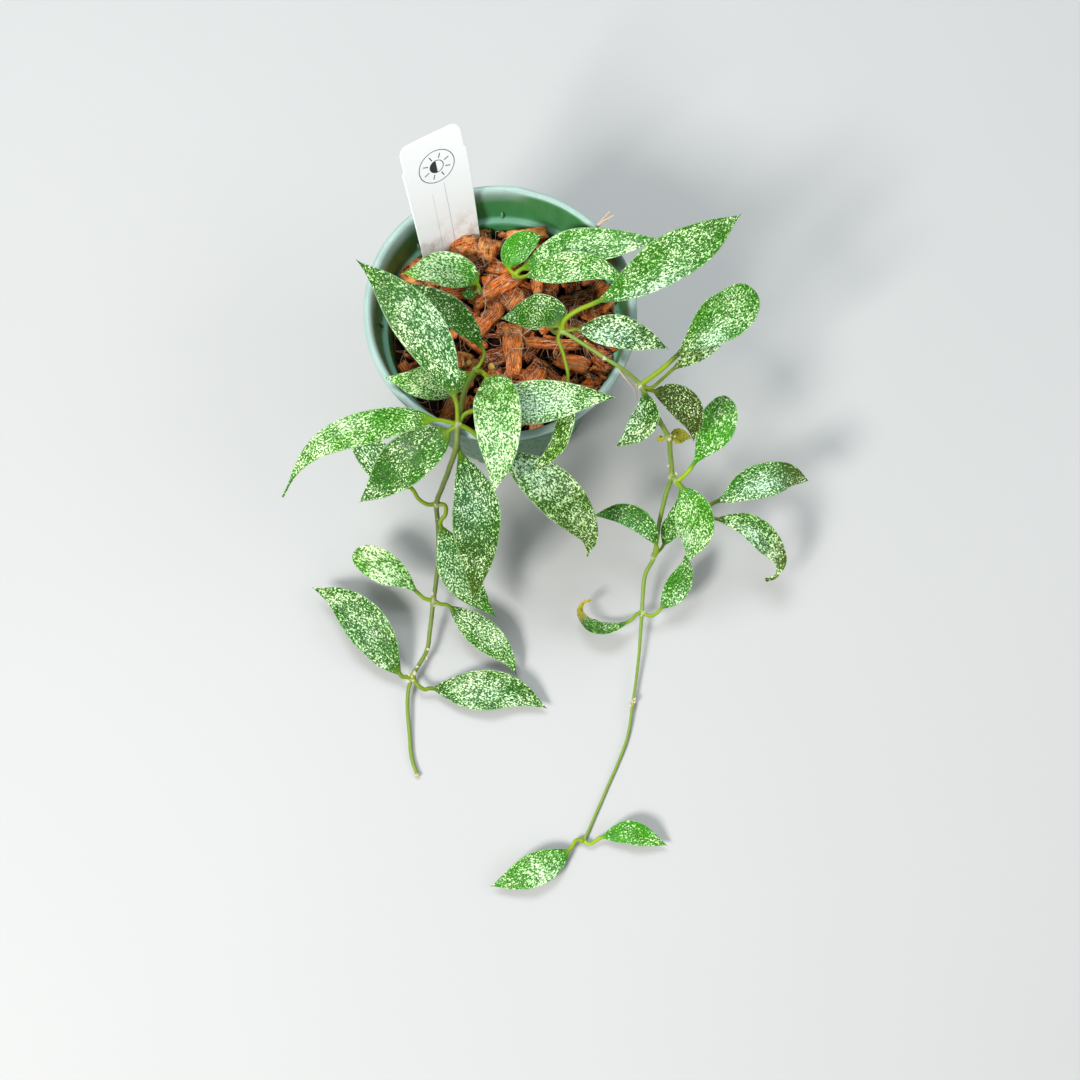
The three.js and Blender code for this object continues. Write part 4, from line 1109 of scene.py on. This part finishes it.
def nubs_round(joint, count, radius, reach=1.15):
    """Nubs spread round a joint, each a little off its middle in a drawn direction."""
    for _ in range(count):
        off = unit(rng.normal(0, 1, 3) + (0, -0.3, 0.6)) * reach
        yield nub(np.array(joint, float) + off, radius * rng.uniform(0.7, 1.15))


# %% The left vine's stem
# where other nubs sit, and their radii
LEFT_NUBS = [
    ((-25.6, -71.5, 41.0), 0.45), ((-28.6, -96.0, 14.6), 0.7), ((-28.0, -100.5, 12.2), 0.6),
    ((-30.7, -117.6, 6.9), 0.75), ((-31.2, -121.2, 6.5), 0.65), ((-35.0, -124.8, 6.6), 0.7),
    ((-36.0, -127.4, 6.3), 0.9), ((-38.4, -128.0, 5.9), 0.85), ((-38.6, -130.6, 5.2), 0.8),
    ((-36.6, -130.4, 5.6), 0.7), ((-34.6, -168.3, 1.3), 1.0, 0.7, 0.5)]
left_joints = list(LEFT.values())
left_stem = [stem_skin(LEFT_ROUTE, (1.25, 1.15, 1.05, 1.0, 0.95, 0.9, 0.82, 0.8),
                       (0.35, 0.5, 0.65, 0.85, 0.75, 0.55, 0.3, 0.15), left_joints)]
for joint in left_joints[1:]:
    left_stem += nubs_round(joint, 4, 0.55)
left_stem += [nub(*row) for row in LEFT_NUBS]

# %% The right vine's stem and its side shoot
RIGHT_NUBS = [
    ((65.6, -44.6, 59.5), 0.75), ((67.6, -43.0, 58.0), 0.6), ((66.0, -51.4, 46.5), 0.6),
    ((69.3, -53.6, 43.5), 0.75), ((53.8, -137.6, 3.3), 0.7), ((52.0, -140.2, 2.6), 0.7)]
right_joints = list(RIGHT.values())
right_stem = [
    stem_skin(RIGHT_ROUTE, (1.3, 1.2, 0.8, 0.8, 1.0, 0.98, 0.88, 0.85, 0.62, 0.58, 0.56, 0.56),
              (0.5, 0.4, 0.25, 0.35, 0.2, 0.2, 0.1, 0.1, 0.1, 0.05, 0.0, 0.0), right_joints),
    stem_skin(SIDE_ROUTE, (0.95, 0.9, 0.85), (0.2, 0.1, 0.1), (SIDE["fork"], SIDE["end"]))]
for joint in right_joints[1:-1]:
    right_stem += nubs_round(joint, 6, 0.55)
right_stem += nubs_round((39.5, -22, 88), 3, 0.5, 0.9)
right_stem += [nub(*row) for row in RIGHT_NUBS]
# two thin dry roots that the vine put out in the air
DRY_ROOTS = [
    [(44.6, -25.2, 86.6), (46.2, -27.2, 84.4), (48.4, -29.0, 82.2), (50.8, -31.2, 79.2), (52.2, -33.2, 74.6)],
    [(61.2, -40.0, 65.6), (60.0, -41.0, 63.8), (59.4, -41.6, 62.2)],
]
for root in DRY_ROOTS:
    right_stem.append(stem_skin(root, (0.5, 0.42, 0.2), (1, 1), withered=1))

# %% The two short stems
def short_stem(route):
    top = route[-1]
    return [stem_skin(route, (1.25, 1.15, 1.0), (0.5, 0.3, 0.2), (top,)), *nubs_round(top, 3, 0.5)]


back_stem, small_stem = short_stem(BACK_ROUTE), short_stem(SMALL_ROUTE)

# %% [markdown]
# Behind the long back leaf a dry forked twig leans out of the bark and over the rim.

# %% The dry twig
TWIG_ROUTES = [
    [(30.5, 31.0, 60.0), (33.0, 32.0, 70.0), (35.6, 33.2, 79.5), (37.4, 33.9, 84.5), (38.9, 34.6, 88.0),
     (40.4, 35.0, 90.6), (41.7, 35.6, 93.0)],
    [(37.4, 33.9, 84.5), (39.6, 34.2, 88.0), (41.6, 34.0, 90.8), (43.4, 34.0, 93.0)],
]
twigs = [stem_skin(route, (0.75, 0.5, 0.3), (1, 1), withered=1) for route in TWIG_ROUTES]
piece("dry_twig", twigs, STEM)

# %% [markdown]
# ## Leaves
#
# A hoya's leaf is fleshy: a thick round stalk that flattens into a blade with a shallow channel
# over its midrib, margins that lift a little, and a drawn-out tip. So a leaf is one closed skin
# whose rings start as circles and end as thin lenses. The same few numbers describe every leaf: the
# points of its midrib, its greatest width and where that is, and how its base and its tip thin out.
# The solid model has them too, so each leaf here lies where its solid does.

# %% One leaf
FACING = unit(np.array([0, -0.25, 0.97]))
LEAF_AROUND, BLADE_RINGS, STALK_STEP = 32, 72, 0.9
BLADE_HALF_THICK, STALK_ENDS = 0.5, 0.2
# each leaf reads the noise this far from the next one's place, so no two have the same flecks
LEAF_SPACING = 31.7
# the silver bell says where the flecks run together into a bluish sheen that is partly a painted highlight
LEAF_DEFAULTS = dict(roll=0, cup=0.12, widest=0.45, base=1.3, tip=1.3, tail=0.12, ripple=0.35,
                     aged=(2, 3, 0), olive=(2, 3, 0), silver_and_painted_sheen=(0.5, 0, 1, 0))


def blade_frames(directions, roll):
    """The way up at points of a midrib: the blade faces up and a little to -Y, square to its
    midrib, then it is rolled about it."""
    up = unit(FACING - (directions @ FACING)[:, None] * directions)
    turn = math.radians(roll)
    return up * math.cos(turn) + np.cross(directions, up) * math.sin(turn)


def fullness(s, widest, base, tip):
    """The blade's share of its full width: (4 u (1 - u)) to a power, where u is s bent so that the
    widest place has u = 1/2. The power is `base` before that place and `tip` beyond it."""
    u = s ** (math.log(0.5) / math.log(widest))
    return np.maximum(4 * u * (1 - u), 0) ** np.where(s < widest, base, tip)


def margin_ripple(span, c, size):
    """Two waves along each margin, of drawn lengths and phases. They grow from the midrib as |c|^3
    and fade towards both ends of the blade."""
    phase = rng.uniform(0, 2 * np.pi, 4)
    waves = np.sin(span * rng.uniform(9, 13) + phase[0] + (c > 0) * phase[1]) + 0.6 * np.sin(
        span * rng.uniform(17, 23) + phase[2] + (c > 0) * phase[3])
    return size * waves * np.abs(c) ** 3 * np.sin(np.pi * np.clip(span, 0, 1))


def leaf_marks(p, s, c, w):
    """What the finish reads at each point: the leaf's tone, flecks and upper side, its shares along
    and across, and where it is aged, silvery with a painted sheen, or olive. The silver and its
    painted sheen are a bell along and across:
    most x exp(-((share - at) / spread)^2 - ((c - side) / 0.9)^2)."""
    span = np.clip(s, 0, 1)
    aged, olive = (most * np.clip((span - start) / (end - start), 0, 1)
                   for start, end, most in (p["aged"], p["olive"]))
    at, side, spread, most = p["silver_and_painted_sheen"]
    silver_and_painted_sheen = most * np.exp(-((span - at) / spread) ** 2 - ((c - side) / 0.9) ** 2)
    return dict(leaf_look=in_threes(p["tone"], p["flecks"], np.clip(w * 4 + 0.9, 0, 1) + 0 * span),
                leaf_form=in_threes(s, c, aged), leaf_painted_sheen_and_olive=in_threes(silver_and_painted_sheen, olive, 0 * c))


# %% [markdown]
# The leaf itself puts these together: the rings of its stalk and its blade, its marks and its skin.

# %% A whole leaf
def leaf_skin(number, plan):
    """A leaf from its plan.

    On the stalk a ring is a circle. On the blade, a point at angle a of the ring lies
    half width x cos a across, and up by a lens, half thickness x sin a x (1 + cos^2-falloff),
    plus the margins' lift, cup x half width x cos^2 a, plus a ripple that grows to the margins,
    less the channel over the midrib. Between, the two forms are mixed by a soft step.
    """
    p = LEAF_DEFAULTS | plan
    path = smooth_path(p["path"])
    whole = path_length(path)
    stalk = path_length(path[: SAMPLES_PER_SPAN * p["stalk"] + 1])
    stalk_radius = 0.45 + 0.025 * p["width"]
    stalk_rings = max(3, round(stalk / STALK_STEP))
    s = np.concatenate([np.linspace(-stalk / (whole - stalk), 0, stalk_rings, endpoint=False),
                        0.5 - 0.5 * np.cos(np.pi * np.linspace(0, 1, BLADE_RINGS))])
    lengths = stalk + s * (whole - stalk)
    places, directions = along(path, lengths)
    up = blade_frames(directions, p["roll"])
    foot_up = up[stalk_rings]
    on_stalk = unit(foot_up - (directions @ foot_up)[:, None] * directions)
    up = np.where((s < 0)[:, None], on_stalk, up)
    across = np.cross(directions, up)

    share = np.clip(s, 0, 1)
    step = np.clip(share / STALK_ENDS, 0, 1)
    flat = (step * step * (3 - 2 * step))[:, None]
    narrowest = np.where(share < p["widest"], stalk_radius, p["tail"])
    half = np.maximum(p["width"] / 2 * fullness(share, p["widest"], p["base"], p["tip"]), narrowest)[:, None]
    foot_swell = 1 + 0.35 * np.exp(-((s - s[0]) * (whole - stalk) / 1.6) ** 2)[:, None]
    round_radius = stalk_radius * foot_swell

    turn = np.linspace(0, 2 * np.pi, LEAF_AROUND, endpoint=False)
    c, w = np.cos(turn), np.sin(turn)
    fade = np.sqrt(np.clip((1 - share) / 0.12, 0.04, 1))[:, None]
    lens = BLADE_HALF_THICK * fade * w * (0.45 + 0.55 * (1 - c**2)) * np.where(w < 0, 1.15, 1.0)
    span = share[:, None]
    ripple = margin_ripple(span, c, p["ripple"]) * (p["width"] / 16)
    channel = -0.32 * np.exp(-((c * half) / 0.7) ** 2) * (w > 0) * (1 - span) ** 0.5
    rise = lens + p["cup"] * half * c**2 + ripple + channel
    x = half * c
    z = round_radius * w * (1 - flat) + rise * flat
    x = np.where(s[:, None] < 0, round_radius * c, x)
    rings = places[:, None] + x[..., None] * across[:, None] + z[..., None] * up[:, None]

    blade = in_threes(lengths[:, None] - stalk, x, LEAF_SPACING * number)
    return skin(rings, blade_mm=blade, **leaf_marks(p, s[:, None], c, w))


def leaf_piece(name, node, first_number, leaves):
    skins = [leaf_skin(number, plan) for number, plan in enumerate(leaves.values(), first_number)]
    made = piece(name, skins, LEAF)
    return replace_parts(made, node)


def stem_piece(name, node, bodies):
    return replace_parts(piece(name, bodies, STEM), node)


# %% [markdown]
# The left vine's leaves, each by the points of its midrib from the joint to its tip. The blade
# begins at the point that `stalk` counts to. `tone` and `flecks` say how fresh a green it has and
# how densely it is flecked. The silver numbers say where the flecks run together into a bluish
# sheen that is partly a painted highlight: the share of the length, the side (1 is the margin to the
# right of its heading), the spread and the strength. `aged` and `olive` say from where to where
# that change grows, and how far.

# %% The left vine's upper leaves
LEFT_LEAVES = {
    "crown_top": dict(
        path=[LEFT["crown"], (-7.5, -22.5, 75), (-5, -28, 84), (-1.5, -37.5, 94), (-0.5, -47, 98),
              (0, -55.5, 98), (0, -64, 94), (-2, -74, 85)],
        stalk=2, width=17.5, base=0.9, tip=1.2,
        tone=0.64, flecks=0.56, silver_and_painted_sheen=(0.75, 0.2, 0.3, 0.5)),
    "crown_dark": dict(
        path=[LEFT["crown"], (-8, -16.5, 68), (-6.5, -14, 70), (-7, -12, 71), (-10.5, -7, 74),
              (-16, -1.5, 76), (-21.5, 3.5, 77), (-28.5, 8.5, 77), (-36.5, 14.5, 75)],
        stalk=3, width=10.5,
        tone=0.4, flecks=0.38, olive=(0.4, 0.9, 0.3)),
    "crown_left": dict(
        path=[LEFT["crown"], (-12, -21, 68), (-18.5, -25, 73), (-25.5, -28, 78), (-33, -29.5, 82),
              (-38.5, -29.5, 85), (-43.5, -29, 86)],
        stalk=1, width=14, base=1,
        tone=0.75, flecks=0.62),
    "long_back_left": dict(
        path=[LEFT["first"], (-15.5, -44, 89), (-16, -40.5, 91), (-19.5, -31, 93), (-25.5, -19, 95),
              (-34, -7, 96), (-44, 5.5, 95), (-55, 16.5, 92)],
        stalk=2, width=18, tip=1.5,
        tone=0.32, flecks=0.46, silver_and_painted_sheen=(0.38, 0.55, 0.32, 0.7)),
    "arched_left": dict(
        path=[LEFT["first"], (-19, -47.5, 89), (-23.5, -47.5, 91), (-34.5, -48.5, 94), (-47, -51.5, 95),
              (-58.5, -54, 92), (-68, -57, 86), (-76, -62, 77), (-83, -70, 66)],
        stalk=2, width=12.2, widest=0.36, base=1.2, tip=1.9,
        tail=0.4, tone=0.64, flecks=0.52, silver_and_painted_sheen=(0.5, 0.5, 0.35, 0.2)),
    "broad_left": dict(
        path=[LEFT["first"], (-18.5, -50, 86), (-25, -54, 84), (-33, -58.5, 81), (-40.5, -63, 75),
              (-47, -67.5, 69), (-54.5, -71, 62)],
        stalk=1, width=18.5, widest=0.4, base=1,
        tone=0.42, flecks=0.38, silver_and_painted_sheen=(1, 0, 0.25, 0.5)),
    "long_front": dict(
        path=[LEFT["first"], (-16, -51.5, 84), (-15.5, -55, 81), (-12.5, -62.5, 74), (-9.5, -71.5, 64),
              (-9.5, -80.5, 53), (-9.5, -89.5, 42), (-11.5, -103, 32)],
        stalk=2, width=19, base=1.5, tip=1.2,
        tone=0.34, flecks=0.4, silver_and_painted_sheen=(0.36, 0.25, 0.25, 0.9), olive=(0.45, 0.9, 0.55)),
    "over_bark": dict(
        path=[LEFT["first"], (-13, -44, 87), (-9.5, -42.5, 87), (-7.5, -42, 87.5), (2, -41, 88.5),
              (11.5, -40.5, 90), (22, -40, 92), (33, -39.5, 93), (43.5, -39, 92)],
        stalk=3, width=16.4, widest=0.4,
        tone=0.3, flecks=0.56, silver_and_painted_sheen=(0.35, 0.1, 0.38, 1)),
    "over_rim": dict(
        path=[LEFT["first"], (-11.5, -49.5, 86), (-6, -53.5, 84), (-3.5, -55, 83), (4, -59, 79),
              (13, -63.5, 73), (21, -68, 65), (29, -73.5, 54), (34.5, -79.5, 42), (34, -85, 33)],
        stalk=3, width=18, base=1.5, tip=1.15,
        tail=0.4, tone=0.3, flecks=0.56, silver_and_painted_sheen=(0.22, -0.1, 0.25, 0.9), olive=(0.2, 0.8, 0.55)),
}

# %% [markdown]
# Lower down the leaves are smaller and sit in plain pairs, one to each side of the stem.

# %% The left vine's lower leaves
LEFT_LEAVES |= {
    "second_left": dict(
        path=[LEFT["second"], (-29, -68, 49), (-32.5, -66, 50), (-35, -62.5, 52), (-41.5, -58, 56),
              (-48, -52.5, 59), (-54.5, -47, 60), (-60, -40.5, 59)],
        stalk=3, width=14, base=1.1,
        tone=0.3, flecks=0.46, silver_and_painted_sheen=(0.75, 0, 0.35, 0.6)),
    "second_right": dict(
        path=[LEFT["second"], (-22, -68.5, 49), (-22, -72, 48), (-24, -75, 46), (-21, -82, 40),
              (-18.5, -89, 34), (-14.5, -95, 27), (-9, -100.5, 21), (-2.5, -106.5, 17)],
        stalk=3, width=15,
        tone=0.45, flecks=0.47, silver_and_painted_sheen=(0.3, 0.4, 0.35, 0.6)),
    "third_spoon": dict(
        path=[LEFT["third"], (-32, -98, 14), (-34, -96.5, 15), (-40.5, -91, 18), (-47.5, -87, 20),
              (-54, -83.5, 21), (-61, -80.5, 20)],
        stalk=2, width=13.5, widest=0.6, base=1.1, tip=0.48,
        tone=0.56, flecks=0.62, silver_and_painted_sheen=(0.4, -0.2, 0.3, 0.4)),
    "third_right": dict(
        path=[LEFT["third"], (-25.5, -100, 12.5), (-22.5, -100.5, 12), (-15.5, -106, 11), (-9, -111, 9.5),
              (-3, -116, 8), (2, -121.5, 7), (5.5, -128, 5.5)],
        stalk=2, width=12.8,
        tone=0.41, flecks=0.49, silver_and_painted_sheen=(0.5, -0.2, 0.3, 0.4)),
    "fourth_left": dict(
        path=[LEFT["fourth"], (-40, -129, 6), (-41.5, -128.5, 6.5), (-47, -121.5, 9), (-52, -113.5, 11),
              (-59, -105, 12), (-67.5, -97.5, 11), (-79, -92, 8)],
        stalk=2, width=17.5, base=1.2, tip=1.35,
        tone=0.32, flecks=0.47, silver_and_painted_sheen=(0.45, -0.4, 0.35, 0.5)),
    "fourth_right": dict(
        path=[LEFT["fourth"], (-35, -132, 5.5), (-32, -134, 5), (-30, -133.5, 5), (-21, -134, 5.5),
              (-10.5, -134.5, 6.5), (-1, -134.5, 6.5), (8, -136.5, 5.5), (18, -141.5, 3.5)],
        stalk=3, width=16.6, base=1.5,
        tone=0.3, flecks=0.5, silver_and_painted_sheen=(0.5, 0.3, 0.35, 0.6)),
}

stem_piece("left_vine_stem", "left_vine", left_stem)
leaf_piece("left_vine_leaves", "left_vine", 1, LEFT_LEAVES)

# %% [markdown]
# The right vine's leaves are the more varied: two end in broad spoons, one is rolled on its side,
# one has curled up and gone yellow at its end, and the youngest pair sits at the vine's far tip.

# %% The right vine's upper leaves
RIGHT_LEAVES = {
    "longest": dict(
        path=[RIGHT["first"], (24.5, -7.5, 90), (29, -5, 93), (35, -3, 95), (44.5, 1, 97), (54.5, 7, 99),
              (64.5, 13.5, 100), (75, 19.5, 100), (83.5, 26.5, 98), (91.5, 33.5, 95)],
        stalk=3, width=18, widest=0.5,
        base=1.25, tone=0.58, flecks=0.45, silver_and_painted_sheen=(0.3, 1.2, 0.33, 1)),
    "first_left": dict(
        path=[RIGHT["first"], (22.5, -9, 87), (19.5, -4.5, 87), (14, -1.5, 83), (7.5, 0.5, 76),
              (-0.5, 2, 68)],
        stalk=1, width=14, widest=0.33, base=0.9,
        tone=0.3, flecks=0.44, silver_and_painted_sheen=(0.85, 0, 0.2, 0.4)),
    "first_right": dict(
        path=[RIGHT["first"], (26.5, -10.5, 87), (29, -10.5, 88), (36.5, -12, 91), (44.5, -13, 92),
              (52, -15, 91), (58.5, -16.5, 89), (63.5, -18, 87)],
        stalk=2, width=12.5, base=1.2,
        tone=0.16, flecks=0.5, silver_and_painted_sheen=(0.4, 0.3, 0.35, 1)),
    "first_front": dict(
        path=[RIGHT["first"], (22, -13, 86), (24, -20, 86), (25.5, -27, 86), (25.5, -31.5, 86),
              (26, -39, 86.5), (25, -46, 87), (23, -53, 86), (19.5, -58, 83), (11, -65.5, 77)],
        stalk=4, width=8.5, roll=35,
        tone=0.4, flecks=0.5, olive=(0.1, 0.6, 0.5)),
    "second_spoon": dict(
        path=[RIGHT["second"], (57.5, -27.5, 83), (61, -25, 84), (63.5, -23, 85), (71.5, -16, 87),
              (80.5, -8.5, 88), (89, -2, 88), (95.5, 7, 87)],
        stalk=3, width=18.4, widest=0.62, base=1.4, tip=0.45,
        tone=0.6, flecks=0.46, silver_and_painted_sheen=(0.42, 0.75, 0.22, 0.8), olive=(0.45, 0.12, 0.85)),
    "second_under": dict(
        path=[RIGHT["second"], (57, -31, 80), (60.5, -28, 79), (65.5, -23, 78), (72, -18, 78),
              (79, -13, 78), (85.5, -8, 78), (92, -3, 77)],
        stalk=3, width=8,
        tone=0.3, flecks=0.58, silver_and_painted_sheen=(0.7, 0.8, 0.3, 0.8), olive=(0.55, 0.3, 0.9)),
    "second_dark": dict(
        path=[RIGHT["second"], (55.5, -31, 79), (58, -31, 77), (65.5, -32, 73), (71.5, -35, 69),
              (74.5, -39.5, 64), (75, -45, 58)],
        stalk=2, width=12.5, base=1.1,
        tone=0.15, flecks=0.36, olive=(-1, 0, 0.7)),
    "second_front": dict(
        path=[RIGHT["second"], (54, -32, 80), (55.5, -37, 77), (55, -41, 72), (51, -45, 67),
              (44.5, -48.5, 62)],
        stalk=1, width=11,
        tone=0.26, flecks=0.48, silver_and_painted_sheen=(0.5, 0.9, 0.5, 0.7)),
    "bract_right": dict(
        path=[RIGHT["bare"], (66.5, -43, 57), (71, -41.5, 54), (75.5, -41.5, 51)],
        stalk=1, width=6.2, widest=0.32, base=0.7, tip=1.5,
        tone=0.71, flecks=0.05, aged=(-1, 0, 0.55)),
    "bract_left": dict(
        path=[RIGHT["bare"], (63, -43.5, 57), (60.5, -43.5, 55)],
        stalk=1, width=2.8, widest=0.3, base=0.7, tip=1.6,
        tone=0.45, flecks=0.05, aged=(-1, 0, 0.5)),
}

# %% [markdown]
# Beyond the bare joint come the side shoot's leaves, the small ones along the hanging stem, the
# curled one and the youngest pair.

# %% The side shoot's leaves and the far ones
RIGHT_LEAVES |= {
    "fork_spoon": dict(
        path=[SIDE["fork"], (72.5, -55, 46), (74.5, -53, 48), (79.5, -46, 51), (84, -38.5, 53),
              (87, -31, 53), (88.5, -24, 52)],
        stalk=2, width=15, widest=0.58, base=1.4, tip=0.6,
        tone=1, flecks=0.42),
    "fork_front": dict(
        path=[SIDE["fork"], (70.5, -59.5, 45), (74, -66, 46), (76, -73, 44), (76.5, -79.5, 38),
              (74.5, -86.5, 30)],
        stalk=1, width=15.5, base=1.2,
        tone=0.75, flecks=0.56, silver_and_painted_sheen=(0.8, 0.8, 0.3, 0.5)),
    "side_upper": dict(
        path=[SIDE["end"], (84, -64.5, 38), (90, -62.5, 41), (97.5, -58.5, 43), (105.5, -56, 43),
              (114, -53.5, 40), (123, -54, 35)],
        stalk=1, width=14, widest=0.5, base=1.5, tip=1,
        tone=0.45, flecks=0.42, silver_and_painted_sheen=(0.48, 0.3, 0.32, 1), olive=(0.62, 0.82, 0.9)),
    "side_hooked": dict(
        path=[SIDE["end"], (84.5, -70, 36), (91.5, -71, 36), (98.5, -72.5, 34), (104.5, -76, 30),
              (109.5, -80, 25), (113, -84, 20), (111.5, -89, 17), (107, -91, 17)],
        stalk=1, width=11, tip=1.8,
        tail=0.85, tone=0.4, flecks=0.52, silver_and_painted_sheen=(0.42, 0.5, 0.25, 0.9), olive=(0.4, 0.7, 0.95)),
    "fourth_left": dict(
        path=[RIGHT["fourth"], (62.5, -81, 24), (62, -79, 28), (59, -74.5, 32), (54.5, -70, 33),
              (48, -67, 32), (42.5, -66.5, 30), (36.5, -66.5, 27)],
        stalk=2, width=9.5, base=1.1,
        tail=0.3, tone=0.6, flecks=0.32, silver_and_painted_sheen=(0.4, -1, 0.3, 0.7)),
    "fourth_right": dict(
        path=[RIGHT["fourth"], (63.5, -79.5, 20), (65, -78, 22), (67.5, -73, 26), (69.5, -68, 30),
              (70.5, -61, 33)],
        stalk=2, width=8,
        tone=0.52, flecks=0.46),
    "fifth_curled": dict(
        path=[RIGHT["fifth"], (54.5, -103.5, 8.5), (51.5, -106.5, 9), (43, -109.5, 8.5), (35.5, -108, 8),
              (31.5, -103, 8), (32.5, -99, 9), (36, -97.5, 10)],
        stalk=2, width=10, roll=60,
        tail=1.3, tone=0.7, flecks=0.5, aged=(0.6, 0.74, 1)),
    "fifth_right": dict(
        path=[RIGHT["fifth"], (60.5, -104, 8), (63, -103, 9), (64.5, -101.5, 10), (69, -96.5, 13),
              (72.5, -91, 15), (74.5, -85.5, 17), (74.5, -80, 19)],
        stalk=3, width=10.5, base=1.2,
        tone=0.68, flecks=0.42, silver_and_painted_sheen=(0.35, 0.5, 0.3, 0.4)),
    "last_left": dict(
        path=[RIGHT["last"], (29.5, -194.5, 3), (27, -198, 3.5), (20.5, -202.5, 5), (13, -206, 6),
              (5, -209.5, 6), (-4.5, -212.5, 4)],
        stalk=2, width=13.5, base=1.2,
        tone=0.8, flecks=0.5, silver_and_painted_sheen=(0.35, -0.5, 0.3, 0.5)),
    "last_right": dict(
        path=[RIGHT["last"], (35, -196, 2.5), (37.5, -194.5, 3), (39.5, -193.5, 3.5), (45.5, -192, 5),
              (51.5, -191.5, 6), (59, -194, 5), (66, -196.5, 3)],
        stalk=3, width=9.6,
        tone=1, flecks=0.4),
}

stem_piece("right_vine_stem", "right_vine", right_stem)
leaf_piece("right_vine_leaves", "right_vine", 20, RIGHT_LEAVES)

# %% [markdown]
# The two short shoots at the back are younger, and their leaves are a fresher green.

# %% The short shoots' leaves
BACK_LEAVES = {
    "small_upright": dict(
        path=[BACK_TOP, (3, 22.5, 70), (4, 26, 73), (7, 29.5, 75), (11.5, 32, 76), (15.5, 34, 75)],
        stalk=1, width=11, base=0.9, tip=0.9,
        tone=1, flecks=0.34, silver_and_painted_sheen=(0.6, 0.9, 0.3, 0.3)),
    "long_back": dict(
        path=[BACK_TOP, (7.5, 22, 70), (17.5, 24, 77), (28.5, 24.5, 84), (40, 23.5, 89), (51, 23.5, 92),
              (62, 24.5, 92)],
        stalk=1, width=16.5, roll=-20, base=1.1,
        tone=0.7, flecks=0.47, silver_and_painted_sheen=(0.5, 0.2, 0.6, 0.5)),
    "long_front": dict(
        path=[BACK_TOP, (7, 19, 69.5), (9, 18, 72.5), (18, 17, 80), (27, 16, 86), (36, 14, 89),
              (42.5, 11, 90), (49.5, 7.5, 88)],
        stalk=2, width=12,
        tone=0.66, flecks=0.5, silver_and_painted_sheen=(0.5, 0.6, 0.5, 0.3)),
}
SMALL_LEAVES = {
    "broad": dict(
        path=[SMALL_TOP, (-9.5, 16.5, 68), (-14, 19.5, 70), (-20.5, 21, 72), (-27, 21, 73), (-33, 19.5, 73),
              (-39, 19.5, 72)],
        stalk=1, width=14, widest=0.42, base=0.9,
        tone=0.8, flecks=0.62, silver_and_painted_sheen=(0.45, 0, 0.3, 0.5), aged=(0.86, 1.3, 0.9)),
    "bract": dict(
        path=[SMALL_TOP, (-10.5, 13.5, 67), (-13.5, 12.5, 68), (-16, 13, 68)],
        stalk=1, width=4.4, widest=0.4, base=0.9, tip=1.2, cup=0.3,
        tone=0.38, flecks=0.3),
}

stem_piece("back_shoot_stem", "back_shoot", back_stem)
leaf_piece("back_shoot_leaves", "back_shoot", 50, BACK_LEAVES)
stem_piece("small_shoot_stem", "small_shoot", small_stem)
leaf_piece("small_shoot_leaves", "small_shoot", 60, SMALL_LEAVES)

# %% [markdown]
# ## Floor and light
#
# The floor is a plain pale sheet. The light is a studio's: a large soft lamp high up behind the
# plant, which lays broad bluish sheens on the waxy leaves as in the photograph, a warmer one at the
# front left for form, and a pale room that fills the shadows.

# %% The stage
floor_finish = Wiring("floor", Roughness=0.8)
floor_tone = floor_finish.noise(floor_finish.own_place(), 3.0, 3.0)
floor_finish.wear(Base_Color=floor_finish.blend(floor_tone, (0.43, 0.44, 0.435), (0.47, 0.47, 0.465)))
FLOOR_REACH = 2.5
corners = [(x * FLOOR_REACH, y * FLOOR_REACH, 0) for x, y in ((-1, -1), (1, -1), (1, 1), (-1, 1))]
floor_mesh = bpy.data.meshes.new("floor")
floor_mesh.from_pydata(corners, [], [(0, 1, 2, 3)])
floor_mesh.materials.append(floor_finish.finish)
floor = bpy.data.objects.new("floor", floor_mesh)
bpy.context.scene.collection.objects.link(floor)

AIM = Vector((0.015, -0.05, 0.06))


def soft_lamp(name, place, size, power, colour):
    """A square lamp that faces the plant."""
    data = bpy.data.lights.new(name, "AREA")
    data.size, data.energy, data.color = size, power, colour
    lamp = bpy.data.objects.new(name, data)
    lamp.location = place
    lamp.rotation_euler = (AIM - Vector(place)).to_track_quat("-Z", "Y").to_euler()
    bpy.context.scene.collection.objects.link(lamp)


soft_lamp("back_sheen", (-0.2, 0.55, 1.25), 0.55, 12.0, (0.90, 0.96, 1.0))
soft_lamp("front_key", (-0.7, -0.75, 1.05), 0.4, 22.5, (1.0, 0.98, 0.95))
soft_lamp("right_fill", (1.0, -0.1, 0.8), 0.8, 4.0, (0.95, 0.98, 1.0))

ROOM_COLOUR, ROOM_STRENGTH = (0.95, 0.98, 1.0, 1.0), 0.4
room = bpy.data.worlds.new("room")
room.use_nodes = True
room_light = room.node_tree.nodes["Background"].inputs
room_light["Color"].default_value = ROOM_COLOUR
room_light["Strength"].default_value = ROOM_STRENGTH
bpy.context.scene.world = room
bpy.context.scene.view_settings.view_transform = "Standard"
